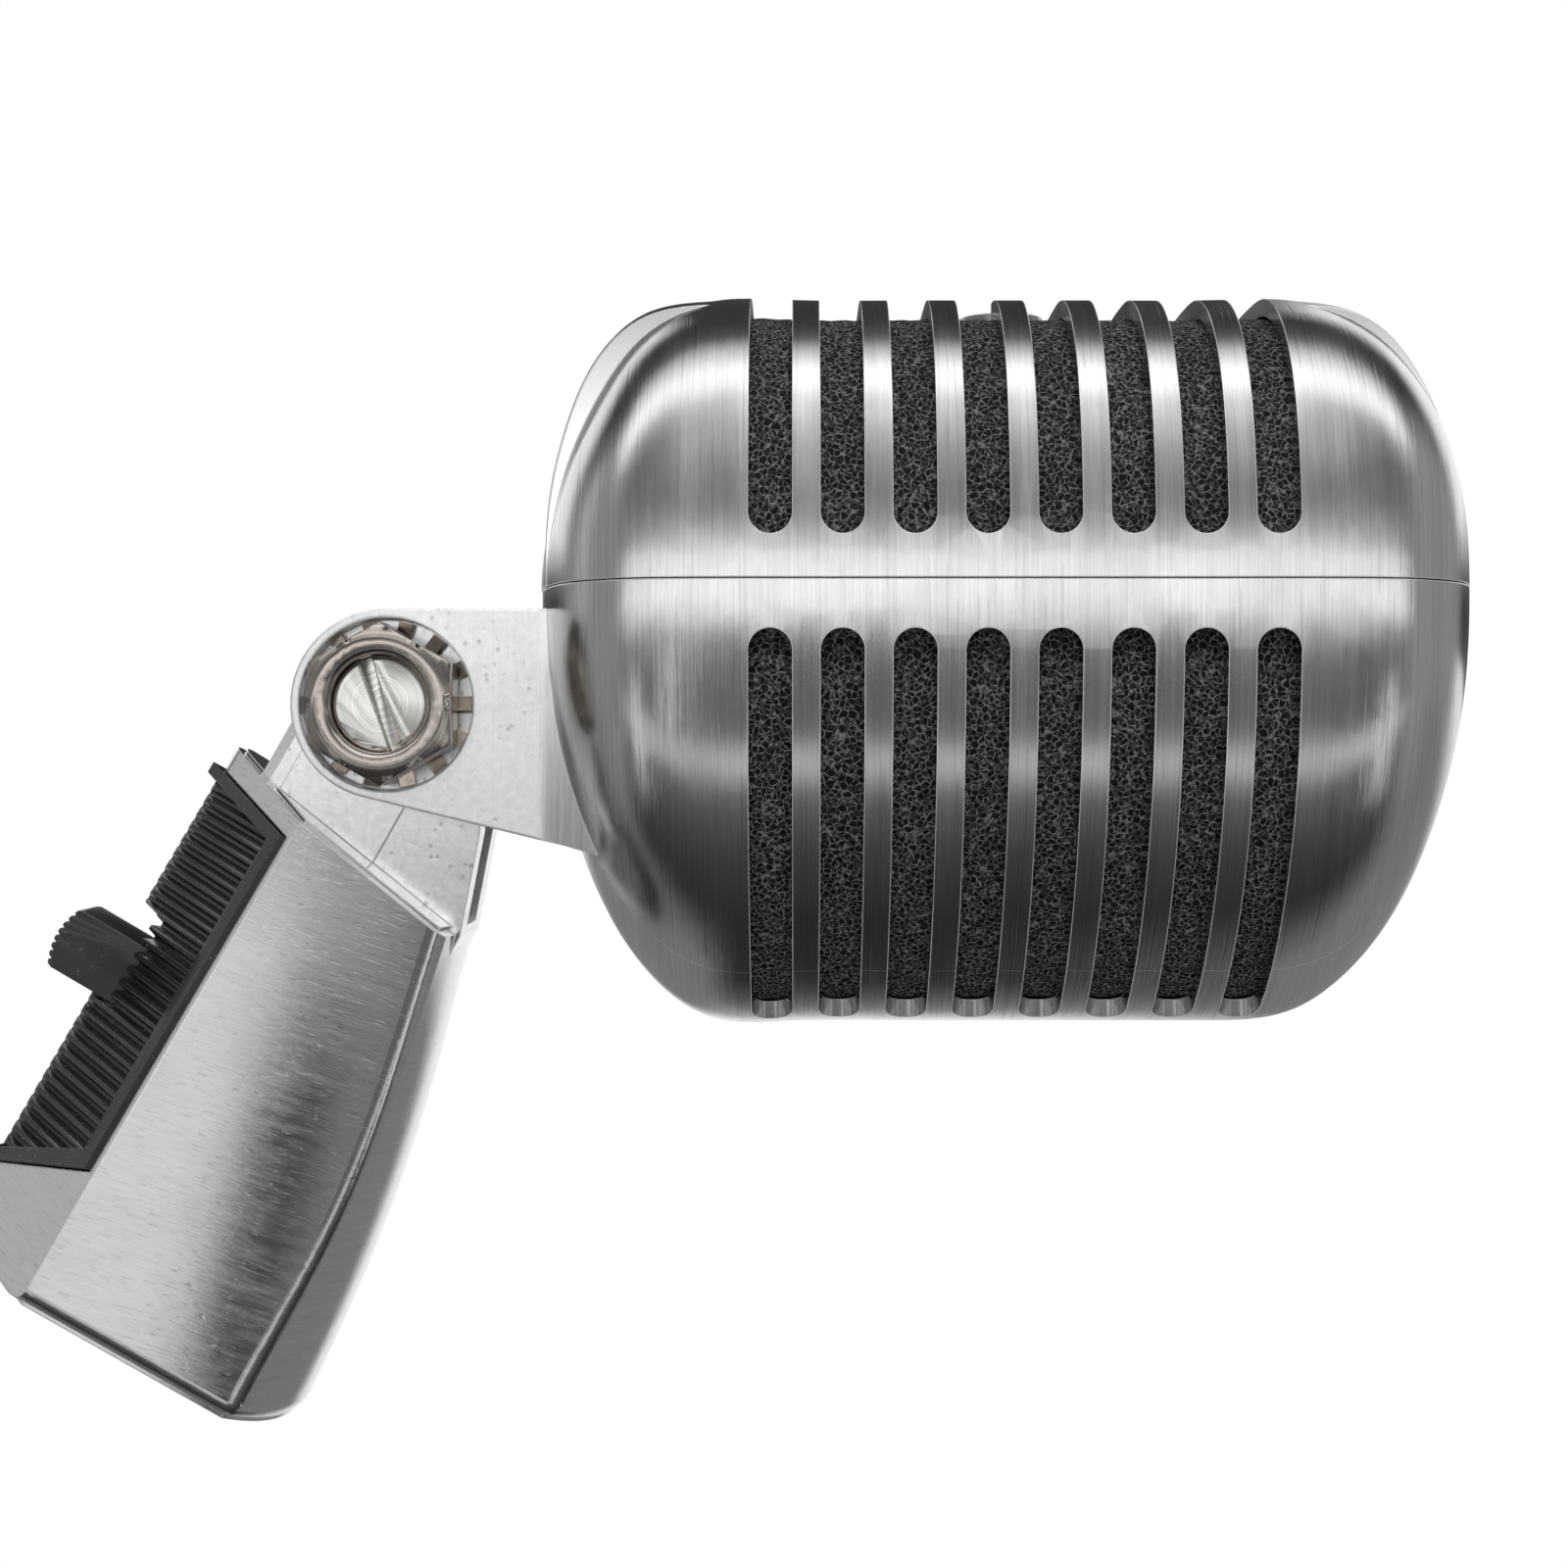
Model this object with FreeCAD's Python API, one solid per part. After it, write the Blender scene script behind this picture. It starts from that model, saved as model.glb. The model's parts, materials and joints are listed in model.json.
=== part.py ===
import FreeCAD, Part
import math
import os
from FreeCAD import Vector

# Stage microphone with a die-cast ribbed head on a tilting stand base. All sizes in millimetres.
# Row frame: origin at the mouth of the stand thread, +Z up the base, the front faces -Y.
# Head parts are drawn upright in the head's own frame: X across, -Y to the front, Z up from the
# head's lowest point, with the seam between the two shells in the plane Y = 0.
# Base parts are drawn from the pivot: X across, -Y to the front, -Z down the base.

# --- Head ---------------------------------------------------------------------------------
HEAD_HEIGHT = 98.0
HEAD_HALF_WIDTH = 28.0
FRONT_DEPTH = 45.5           # seam to the nose of the front shell
REAR_DEPTH = 31.1            # seam to the back of the rear shell
WALL = 1.8
SEAM_GAP = 0.15
CORNER = 20.0                # height over which the outlines close at the head's two ends
FRONT_CROWN_CORNER = 22.6
# Exponents (n, m) of an end's closing law: share of full size = (1 - x**n) ** (1 / m)
WIDTH_LAW = (3.0, 2.3)
FRONT_FOOT_LAW = (1.8, 2.23)
FRONT_CROWN_LAW = (1.9, 2.49)
REAR_FOOT_LAW = (2.2, 1.5)
REAR_CROWN_LAW = (2.0, 2.17)
SPINE_FOOT_LAW = (3.1, 1.91)
SPINE_CROWN_LAW = (3.1, 1.5)
FRONT_POWERS = (2.6, 1.2)    # plan section |f/F|**a + |s/W|**b = 1, outside the flat middle
FRONT_FLAT = 0.143           # flat middle of the nose, share of the width
REAR_POWERS = (2.4, 2.4)
REAR_FLAT = 0.08
SPINE_HALF_WIDTH = 12.8      # raised strap over the rear corners
SPINE_SINK = 0.1             # how far the strap lies under the flat of the back

# --- Grille -------------------------------------------------------------------------------
SLOTS = 8
SLOT_WIDTH = 4.3
FIRST_SLOT = 24.55           # height of the lowest slot's centre line
LAST_SLOT_DROP = 23.82       # highest slot's centre line below the crown
FRONT_SLOT_START = 4.8       # seam to the round end of a front slot
REAR_SLOT_START = 4.4
BAND_HALF_WIDTH = 4.4        # centre band of the front shell, between the slots' inner ends
FOAM_THICK = 4.0
FOAM_GAP = 0.15              # foam to shell
FOAM_ROOM = 2.4              # foam's ends to the posts
FOAM_SEAM_GAP = 0.6

# --- Rear cover screw ---------------------------------------------------------------------
COVER_BOSS_R = 4.5
COVER_BOSS_SINK = 1.0        # boss face below the rib tops
COVER_BOSS_LENGTH = 4.2
COVER_HEAD_R = 3.2
COVER_HEAD_THICK = 1.9
COVER_SHAFT_R = 1.5
COVER_HOLE_CLEAR = 0.2
COVER_SLOT_WIDTH = 0.8
COVER_GRIP = 6.0             # thread length inside the bracket's standoff

# --- Capsule, bracket and transformer -----------------------------------------------------
BRACKET_FACE = 2.6           # front face of the bracket plate, forward of the seam
BRACKET_THICK = 1.6
BRACKET_SIDE_ROOM = 2.05     # plate to the foam at each side
BRACKET_MARGIN = 3.6         # plate above and below the screws
BRACKET_CORNER_R = 3.0
POST_R = 3.0
POST_INSET = 5.0             # posts from the plate's sides
POST_FOOT = 13.0             # height of the lower pair of posts
POST_TOP_DROP = 12.5         # upper pair of posts below the crown
CAPSULE_LIFT = 2.6           # capsule's axis above the cover screw
CAPSULE_R = 14.0
CAPSULE_LENGTH = 21.5
CAPSULE_FLOOR = 1.5
CAPSULE_WALL = 2.6
CAPSULE_LIP = 1.4            # wall round the diaphragm
CAPSULE_MOUTH_DEPTH = 3.4
CAPSULE_CAP_THICK = 2.4
CAP_HOLES = 8
CAP_HOLE_R = 1.6
CAP_HOLE_CIRCLE = 8.5
MOUNT_RING_WALL = 4.0        # rubber round the capsule
MOUNT_RING_DEPTH = 8.0
MOUNT_RING_FLOOR = 2.0
MOUNT_RING_BORE = 10.0
MAGNET_R = 10.5
MAGNET_LENGTH = 12.0
COIL_R = 7.4                 # voice coil, middle of its wall
COIL_WALL = 0.4
COIL_ROOM = 0.5              # each side of the voice coil in the magnet's groove
COIL_DIP = 3.5               # voice coil inside the groove
GROOVE_DEPTH = 5.0
DIAPHRAGM_THICK = 0.4
DIAPHRAGM_RISE = 1.6
PUSH_GAP = 0.05              # radial gap of parts pushed together
STANDOFF_R = 3.6
STANDOFF_LENGTH = 12.0
SCREW_R = 1.45
SCREW_HEAD_R = 2.7
SCREW_HEAD_THICK = 1.7
SCREW_GRIP = 7.0
SCREW_SLOT = 0.7
TRANSFORMER_ROOM = 0.5       # strap to the lower posts
CORE_HALF_WIDTH = 9.0
CORE_DEPTH = 15.0
CORE_STACK = 9.0
CORE_LIMB = 3.0
CORE_MIDDLE_LIMB = 4.0
WINDING_WALL = 3.0
WINDING_GAP = 0.1
STRAP_THICK = 0.8
STRAP_HALF_WIDTH = 4.0
STRAP_EAR = 4.7
STRAP_SCREW_R = 1.0
STRAP_SCREW_HEAD_R = 1.8
STRAP_SCREW_HEAD_THICK = 1.1
LEAD_R = 0.35
LEADS_ACROSS = (4.3, 5.3)
LEAD_RISE = 4.0              # leads leave the capsule above its axis
LEAD_BEHIND = 3.2            # leads run this far behind the bracket plate
LEAD_BEND_R = 2.1
LEAD_HOLE_R = 1.3

# --- Fork and pivot -----------------------------------------------------------------------
PIVOT_BELOW_HEAD = 15.4
PIVOT_FORWARD = 12.0         # pivot axis forward of the seam
TILT_AT_REST = 60.5          # degrees of forward tilt in the stored pose
ARM_RIM = 0.9                # wall round the nut's recess
ARM_OUTER = 13.0
ARM_THICK = 4.6
ARM_ROOT = (18.8, 3.2)       # where the arm's front edge meets the head: behind the nose, up
ARM_TOP = (17.1, 9.0)        # the arm's front corner inside the head
NUT_ROOM = 0.57              # recess wall to the nut's corners
NUT_RECESS_DEPTH = 2.6
STUD_R = 4.95
STUD_PROUD = 3.5             # stud end above the arm's face
STUD_CHAMFER = 0.4
STUD_SLOT_WIDTH = 1.25
STUD_SLOT_DEPTH = 1.4
STUD_SLOT_ANGLE = 18.4       # degrees from the head's front-to-back line
STUD_CLEAR = 0.05
NUT_ACROSS_FLATS = 14.6
NUT_PROUD = 5.0
NUT_TOP_DROP = 0.65          # round top inside the flats
NUT_CHAMFER = 1.1
NUT_MOUTH = 0.55             # countersink of the nut's bore
WASHER_ROOM = 0.3            # recess wall to the washer's teeth
WASHER_THICK = 0.7
WASHER_STACK = 1.3           # height that the twisted teeth take up
WASHER_TEETH = 14
WASHER_TOOTH = 1.6
WASHER_TOOTH_LENGTH = 1.5
WASHER_TWIST = 20.0
FRICTION_R = 8.4
FRICTION_THICK = 0.5
FRICTION_GAP = 0.1

# --- Base ---------------------------------------------------------------------------------
BASE_DROP = 72.6             # pivot to the bottom face
BASE_HALF_WIDTH = 14.0
RIDGE = (-14.6, 13.0)        # forward, down: two points where the back's two flat faces would meet
RIDGE_LOW = (-15.3, 57.0)
BACK_SLOPE = 0.936           # how far the two faces fall away from the ridge, per length across
RIDGE_ROUND = 2.5
SHOULDER = (-13.4, 12.4)     # forward, down: the slanted top's back and front ends
SHOULDER_FRONT = (18.0, 17.6)
SHOULDER_STEP = 0.5          # narrow step along the edge of the slanted top
SHOULDER_LEDGE = 0.7
# Share of the way from pivot to bottom face, front end of the flat side, front of the nose
BASE_ROWS = ((0.150, 15.9, 16.3), (0.248, 17.1, 17.7), (0.441, 19.8, 21.8),
             (0.634, 21.8, 24.9), (0.826, 22.2, 26.8), (1.0, 22.3, 27.7))
CREASE_ROUND = 2.0
FOOT_ROUND = 2.0
BOSS_RISE = 0.4              # friction face above the lug's side
BOSS_HALF_LENGTH = 6.2
LUG_TOP_R = 9.3
LUG_BACK = -8.9
LUG_KNEE = (14.5, 7.3)       # forward, down: the lug's front edge
LUG_FRONT = (18.1, 18.0)
LUG_ROOT = 22.0              # depth of the lug's end inside the casting
CHANNEL_HALF_WIDTH = 3.4     # wire channel between the lug's ears
CHANNEL_BACK = -3.0
CHANNEL_FLOOR = 17.0
PASSAGE_R = 1.7              # drilled wire passage from the channel down to the switch pocket
PASSAGE_FORWARD = 1.8

# --- Stand thread and cable connector -----------------------------------------------------
THREAD_R = 7.5
THREAD_DEPTH = 11.0
THREAD_FORWARD = 17.3        # thread axis forward of the pivot
SOCKET_R = 8.1
SOCKET_DEPTH = 18.0
SOCKET_FORWARD = -0.9
INSERT_THICK = 6.0
INSERT_GAP = 0.05
PIN_R = 1.15
PIN_GAP = 0.02
PIN_CIRCLE = 4.5
PIN_SINK = 1.8               # pin tips inside the mouth
PIN_TAIL = 3.0
PIN_ANGLES = (90.0, 225.0, 315.0)
SET_SCREW_R = 1.2
SET_SCREW_BITE = 1.8
SET_SCREW_DROP = 2.0         # below the insert's upper face

# --- Switch -------------------------------------------------------------------------------
PLATE_EDGE = 0.7             # plate's sides inside the casting's
PLATE_TOP = 16.9             # depth of the plate's upper side corners
PLATE_LIFT = 15.8            # lower side corners above the bottom face
PLATE_TOP_RISE = 1.3         # the pointed ends beyond the side corners
PLATE_BOTTOM_DROP = 8.7
PLATE_THICK = 1.5
PLATE_FIELD = 0.5            # sunk field between the ribs, below the casting
PLATE_PROUD = 0.5            # rim above the casting
PLATE_GAP = 0.12
RIM_WIDTH = 1.3
RIB_PITCH = 1.65
RIB_RISE = 0.2               # rib tops above the casting
RIB_CLIMB = 0.1              # ribs climb this much per length across
RIB_TOP = 0.5
RIB_FOOT = 1.25
KNOB_HALF_WIDTH = 3.4
KNOB_LENGTH = 7.0
KNOB_PROUD = 5.2             # knob end behind the ridge
KNOB_TEETH = 8
KNOB_TOOTH = 0.4
KNOB_CROWN = 0.9
KNOB_TRAVEL = 3.5
KNOB_GAP = 0.25
FOOT_HALF_WIDTH = 4.0        # slider's foot under the plate
FOOT_COVER = 0.25            # foot beyond the knob's slot at both ends of the travel
FOOT_THICK = 0.7
FOOT_CLEAR = 0.1             # foot's corners to the inside of the plate
SLIDE_GAP = 0.1
SWITCH_HALF_WIDTH = 4.5
SWITCH_HEIGHT = 21.2
SWITCH_BODY_DEPTH = 6.5
SWITCH_EAR = 3.8
SWITCH_EAR_THICK = 1.0
SWITCH_LIFT = 0.6            # switch's lower ear above the connector
SWITCH_BOSS_R = 1.7
SWITCH_SCREW_R = 0.95
SWITCH_SCREW_HEAD_R = 1.8
SWITCH_SCREW_HEAD_THICK = 1.2
SWITCH_SCREW_GRIP = 1.3
TERMINALS = 3
TERMINAL_PITCH = 5.0
TERMINAL_HALF_WIDTH = 1.0
TERMINAL_THICK = 0.5
TERMINAL_LENGTH = 2.0
POCKET_HALF_WIDTH = 7.5
POCKET_ROOM = 1.5            # above the switch's upper ear
POCKET_FRONT = 6.0           # pocket's far wall forward of the pivot
POCKET_FLOOR_GAP = 0.5       # pocket's floor below the connector's end

SECTION_STEPS = 12
MIDDLE_SECTIONS = 5
LOFT_DEGREE = 3
FAR = 60.0                   # longer than any part it cuts

NUT_CORNER_R = NUT_ACROSS_FLATS / 2 / math.cos(math.pi / 6)
NUT_RECESS_R = NUT_CORNER_R + NUT_ROOM
ARM_END_R = NUT_RECESS_R + ARM_RIM
WASHER_R = NUT_RECESS_R - WASHER_ROOM
WASHER_RING_R = WASHER_R - WASHER_TOOTH_LENGTH
ARM_INNER = ARM_OUTER - ARM_THICK
ARM_FLOOR = ARM_OUTER - NUT_RECESS_DEPTH
BOSS_FACE = ARM_INNER - FRICTION_THICK - FRICTION_GAP
LUG_HALF_WIDTH = BOSS_FACE - BOSS_RISE
STUD_END = ARM_OUTER + STUD_PROUD
NUT_TOP = ARM_OUTER + NUT_PROUD
SLOT_PITCH = (HEAD_HEIGHT - LAST_SLOT_DROP - FIRST_SLOT) / (SLOTS - 1)
SLOT_HEIGHTS = [FIRST_SLOT + index * SLOT_PITCH for index in range(SLOTS)]
COVER_HEIGHT = (SLOT_HEIGHTS[SLOTS // 2 - 1] + SLOT_HEIGHTS[SLOTS // 2]) / 2
COVER_FACE = REAR_DEPTH - COVER_BOSS_SINK
BRACKET_BACK = BRACKET_FACE - BRACKET_THICK
STANDOFF_END = BRACKET_BACK - STANDOFF_LENGTH
BRACKET_HALF_WIDTH = HEAD_HALF_WIDTH - WALL - FOAM_GAP - FOAM_THICK - BRACKET_SIDE_ROOM
POST_ACROSS = BRACKET_HALF_WIDTH - POST_INSET
POST_TOP = HEAD_HEIGHT - POST_TOP_DROP
CAPSULE_HEIGHT = COVER_HEIGHT + CAPSULE_LIFT
CAPSULE_BORE_R = CAPSULE_R - CAPSULE_WALL
CAPSULE_MOUTH_R = CAPSULE_R - CAPSULE_LIP
MOUNT_RING_R = CAPSULE_R + MOUNT_RING_WALL
CAPSULE_BACK = BRACKET_FACE + MOUNT_RING_FLOOR
CAPSULE_SEAT = CAPSULE_BACK + CAPSULE_LENGTH - CAPSULE_CAP_THICK
DIAPHRAGM_SEAT = CAPSULE_SEAT - CAPSULE_MOUTH_DEPTH
MAGNET_FACE = CAPSULE_BACK + CAPSULE_FLOOR + MAGNET_LENGTH
DOME_R = COIL_R + COIL_WALL / 2
TRANSFORMER_HEIGHT = POST_FOOT + POST_R + TRANSFORMER_ROOM + STRAP_HALF_WIDTH
LEAD_START = CAPSULE_HEIGHT + LEAD_RISE
LEAD_END = TRANSFORMER_HEIGHT + (CORE_STACK + WINDING_WALL) / 2
SOCKET_END = BASE_DROP - SOCKET_DEPTH
INSERT_FACE = SOCKET_END + INSERT_THICK
SET_SCREW_DEPTH = SOCKET_END + SET_SCREW_DROP
HALF_ANGLE = math.atan2(1, BACK_SLOPE)
PLATE_HALF_WIDTH = BASE_HALF_WIDTH - PLATE_EDGE
PLATE_BOTTOM = BASE_DROP - PLATE_LIFT
SWITCH_DEPTH = SOCKET_END - SWITCH_LIFT - SWITCH_EAR - SWITCH_HEIGHT / 2
SWITCH_FACE = -((PLATE_THICK + FOOT_CLEAR) / math.sin(HALF_ANGLE) + FOOT_HALF_WIDTH * BACK_SLOPE
                + FOOT_THICK + SLIDE_GAP)
FOOT_LENGTH = KNOB_LENGTH + 2 * (KNOB_TRAVEL + FOOT_COVER)
POCKET_TOP = SWITCH_DEPTH - SWITCH_HEIGHT / 2 - SWITCH_EAR - POCKET_ROOM

# --- Frames -------------------------------------------------------------------------------
def head(across, forward, up):
    """A point of the head's upright frame."""
    return Vector(across, -forward, up)


def base(across, forward, down):
    """A point of the base, measured from the pivot."""
    return Vector(across, -forward, -down)


def place_base(shape):
    """Move a base part from the pivot to the row frame."""
    shape.translate(Vector(0, THREAD_FORWARD, BASE_DROP))
    return shape


def place_head(shape):
    """Tilt a head part about the pivot and move it to the row frame."""
    shape.translate(Vector(0, PIVOT_FORWARD, PIVOT_BELOW_HEAD))
    shape.rotate(Vector(0, 0, 0), Vector(1, 0, 0), TILT_AT_REST)
    return place_base(shape)


# --- Small solids -------------------------------------------------------------------------
def cylinder(start, direction, radius, length):
    return Part.makeCylinder(radius, length, start, direction)


def rod(start, end, radius):
    """Cylinder from one point to another."""
    run = end - start
    return Part.makeCylinder(radius, run.Length, start, run)


def tube(start, direction, outer, inner, length):
    return cylinder(start, direction, outer, length).cut(cylinder(start, direction, inner, length))


def block(first, second):
    """Box between two opposite corners."""
    low = Vector(min(first.x, second.x), min(first.y, second.y), min(first.z, second.z))
    high = Vector(max(first.x, second.x), max(first.y, second.y), max(first.z, second.z))
    size = high - low
    return Part.makeBox(size.x, size.y, size.z, low)


def prism(edges, run):
    """Solid swept by a closed outline of edges along a straight run."""
    return Part.Face(Part.Wire(edges)).extrude(run)


def polygon_prism(points, run):
    return Part.Face(Part.makePolygon(points + [points[0]])).extrude(run)


def line(start, end):
    return Part.LineSegment(start, end).toShape()


def arc(start, middle, end):
    return Part.Arc(start, middle, end).toShape()


def both_sides(shape):
    """The shape and its mirror image across the centre plane."""
    return [shape, shape.mirror(Vector(0, 0, 0), Vector(1, 0, 0))]


def merge(shapes):
    merged = shapes[0].multiFuse(shapes[1:]) if len(shapes) > 1 else shapes[0]
    return merged.removeSplitter()


# --- Head surfaces ------------------------------------------------------------------------
def close_share(gap, corner, law):
    """Share of full size at a distance gap from the head's end."""
    power, root = law
    x = max(0.0, 1.0 - gap / corner)
    return (1.0 - x ** power) ** (1.0 / root)


def end_share(up, inset, foot_law, crown_law, crown_corner):
    """Share of full size at a height, from the law of the nearer end."""
    foot = close_share(up - inset, CORNER - inset, foot_law)
    crown = close_share(HEAD_HEIGHT - inset - up, crown_corner - inset, crown_law)
    return min(foot, crown)


def section_heights(inset):
    """Heights of the loft's sections, closer together towards both ends."""
    angles = (87, 80, 72, 62, 50, 36, 20, 5)
    gaps = [inset + (CORNER - inset) * (1 - math.sin(math.radians(angle))) for angle in angles]
    step = (HEAD_HEIGHT - 2 * gaps[-1]) / (MIDDLE_SECTIONS + 1)
    middle = [gaps[-1] + step * (index + 1) for index in range(MIDDLE_SECTIONS)]
    return gaps + middle + [HEAD_HEIGHT - gap for gap in reversed(gaps)]


def bow_points(half_width, depth, powers, flat):
    """Half a superellipse from seam to seam as (across, forward), its middle flat over a share of it."""
    forward_power, across_power = powers
    side = []
    for step in range(SECTION_STEPS + 1):
        angle = math.pi / 2 * step / SECTION_STEPS
        across = flat + (1 - flat) * math.cos(angle) ** (2 / across_power)
        side.append((half_width * across, depth * math.sin(angle) ** (2 / forward_power)))
    return side + [(-across, forward) for across, forward in reversed(side)]


def bow_knots(points):
    """Distances along a row of points from its start."""
    knots = [0.0]
    for before, after in zip(points, points[1:]):
        knots.append(knots[-1] + math.dist(before, after))
    return knots


def half_section(up, bow, knots):
    """Half of the head's plan section, closed along the seam."""
    points = [head(across, forward, up) for across, forward in bow]
    curve = Part.BSplineCurve()
    curve.interpolate(Points=points, Parameters=knots)
    return Part.Wire([curve.toShape(), line(points[-1], points[0])])


def half_head(depth, plan, foot_law, crown_law, crown_corner, inset=0.0):
    """Solid half of the head. A negative depth faces the rear. The inset shrinks it all round."""
    powers, flat = plan
    knots = bow_knots(bow_points(HEAD_HALF_WIDTH, abs(depth), powers, flat))
    sections = []
    for up in section_heights(inset):
        width = (HEAD_HALF_WIDTH - inset) * end_share(up, inset, WIDTH_LAW, WIDTH_LAW, CORNER)
        reach = (abs(depth) - inset) * end_share(up, inset, foot_law, crown_law, crown_corner)
        sections.append(half_section(up, bow_points(width, math.copysign(reach, depth), powers, flat), knots))
    return Part.makeLoft(sections, True, False, False, LOFT_DEGREE)


def front_half(inset=0.0):
    return half_head(FRONT_DEPTH, (FRONT_POWERS, FRONT_FLAT), FRONT_FOOT_LAW, FRONT_CROWN_LAW,
                     FRONT_CROWN_CORNER, inset)


def rear_half(inset=0.0):
    return half_head(-REAR_DEPTH, (REAR_POWERS, REAR_FLAT), REAR_FOOT_LAW, REAR_CROWN_LAW, CORNER, inset)


def rear_spine():
    """Strap that stands proud over the rear shell's two corners."""
    strap = half_head(SPINE_SINK - REAR_DEPTH, (REAR_POWERS, REAR_FLAT), SPINE_FOOT_LAW, SPINE_CROWN_LAW,
                      CORNER)
    slab = block(head(-SPINE_HALF_WIDTH, -FAR, -FAR), head(SPINE_HALF_WIDTH, FAR, 2 * FAR))
    return strap.common(slab)


# --- Grille cutters -----------------------------------------------------------------------
def side_slot(up, start, end, across_low, across_high):
    """Slot seen from the side: a round end near the seam, open towards the far end."""
    radius = SLOT_WIDTH / 2
    turn = math.copysign(radius, end - start)
    low, high = up - radius, up + radius
    outline = [line(head(across_low, end, low), head(across_low, start + turn, low)),
               arc(head(across_low, start + turn, low), head(across_low, start, up),
                   head(across_low, start + turn, high)),
               line(head(across_low, start + turn, high), head(across_low, end, high)),
               line(head(across_low, end, high), head(across_low, end, low))]
    return prism(outline, Vector(across_high - across_low, 0, 0))


def nose_slot(start, end):
    """Slot seen from the front: a stadium between two centre points, cut from the nose inwards."""
    radius = SLOT_WIDTH / 2
    along = (end - start).normalize()
    side = along.cross(Vector(0, 1, 0)) * radius
    outline = [line(start + side, end + side),
               arc(end + side, end + along * radius, end - side),
               line(end - side, start - side),
               arc(start - side, start - along * radius, start + side)]
    return prism(outline, Vector(0, -FAR, 0))


def front_slots():
    """Slots of the front shell, on both sides of its centre band."""
    tools = []
    for up in SLOT_HEIGHTS:
        wrap = side_slot(up, FRONT_SLOT_START, FAR, 0, FAR)
        inner_end = nose_slot(head(BAND_HALF_WIDTH + SLOT_WIDTH / 2, 0, up), head(FAR, 0, up))
        tools += both_sides(wrap.common(inner_end))
    return tools


def rear_slots():
    """Slots that run right round the back."""
    return [side_slot(up, -REAR_SLOT_START, -FAR, -FAR, FAR) for up in SLOT_HEIGHTS]


# --- Head shells --------------------------------------------------------------------------
def fork_arm():
    """One fork arm with its nut recess and stud hole, on the positive side."""
    pivot_up, pivot_forward = -PIVOT_BELOW_HEAD, PIVOT_FORWARD
    back_edge = pivot_forward - ARM_END_R
    root = (FRONT_DEPTH - ARM_ROOT[0], ARM_ROOT[1])
    top = (FRONT_DEPTH - ARM_TOP[0], ARM_TOP[1])
    reach_forward, reach_up = root[0] - pivot_forward, root[1] - pivot_up
    turn = math.atan2(reach_up, reach_forward) - math.acos(ARM_END_R / math.hypot(reach_forward, reach_up))
    tangent = head(ARM_INNER, pivot_forward + ARM_END_R * math.cos(turn),
                   pivot_up + ARM_END_R * math.sin(turn))
    end_back = head(ARM_INNER, back_edge, pivot_up)
    outline = [arc(end_back, head(ARM_INNER, pivot_forward - ARM_END_R * math.sin(math.radians(45)),
                                  pivot_up - ARM_END_R * math.cos(math.radians(45))), tangent),
               line(tangent, head(ARM_INNER, *root)),
               line(head(ARM_INNER, *root), head(ARM_INNER, *top)),
               line(head(ARM_INNER, *top), head(ARM_INNER, back_edge, top[1])),
               line(head(ARM_INNER, back_edge, top[1]), end_back)]
    arm = prism(outline, Vector(ARM_THICK, 0, 0))
    recess = cylinder(head(ARM_FLOOR, pivot_forward, pivot_up), Vector(1, 0, 0), NUT_RECESS_R, FAR)
    hole = cylinder(head(0, pivot_forward, pivot_up), Vector(1, 0, 0), STUD_R + STUD_CLEAR, FAR)
    return arm.cut(recess).cut(hole)


def bracket_posts():
    """Places of the four bracket screws: across and up."""
    return [(side * POST_ACROSS, up) for up in (POST_FOOT, POST_TOP) for side in (-1, 1)]


def front_shell():
    shell = front_half().cut(front_half(WALL)).cut(front_slots())
    core = front_half(WALL / 2)
    posts = [cylinder(head(across, BRACKET_FACE, up), Vector(0, -1, 0), POST_R, FAR).common(core)
             for across, up in bracket_posts()]
    holes = [cylinder(head(across, BRACKET_FACE, up), Vector(0, -1, 0), SCREW_R + PUSH_GAP, SCREW_GRIP + 1)
             for across, up in bracket_posts()]
    return merge([shell] + both_sides(fork_arm()) + posts).cut(holes)


def rear_shell():
    """Back half with the raised strap, the slots and the boss of the cover screw."""
    shell = merge([rear_half(), rear_spine()]).cut(rear_half(WALL)).cut(rear_slots())
    boss_start = head(0, -COVER_FACE, COVER_HEIGHT)
    boss = cylinder(boss_start, Vector(0, -1, 0), COVER_BOSS_R, COVER_BOSS_LENGTH)
    room = cylinder(boss_start + Vector(0, FAR, 0), Vector(0, -1, 0), COVER_BOSS_R, FAR)
    counterbore = cylinder(boss_start, Vector(0, -1, 0), COVER_HEAD_R + COVER_HOLE_CLEAR,
                           COVER_HEAD_THICK + COVER_HOLE_CLEAR)
    hole = cylinder(boss_start, Vector(0, -1, 0), COVER_SHAFT_R + COVER_HOLE_CLEAR, FAR)
    seam = block(head(-FAR, -SEAM_GAP, -FAR), head(FAR, FAR, 2 * FAR))
    return merge([shell.cut(room), boss]).cut([counterbore, hole, seam])


def foam(half, direction):
    """Lining that lies against the inside of one shell, over the height of its slots."""
    outer = half(WALL + FOAM_GAP)
    inner = half(WALL + FOAM_GAP + FOAM_THICK)
    band = block(head(-FAR, direction * FOAM_SEAM_GAP, POST_FOOT + POST_R + FOAM_ROOM),
                 head(FAR, direction * FAR, POST_TOP - POST_R - FOAM_ROOM))
    return outer.cut(inner).common(band)


def front_foam():
    return foam(front_half, 1)


def rear_foam():
    boss_room = cylinder(head(0, 0, COVER_HEIGHT), Vector(0, 1, 0), COVER_BOSS_R + FOAM_SEAM_GAP, FAR)
    return foam(rear_half, -1).cut(boss_room)


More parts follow.
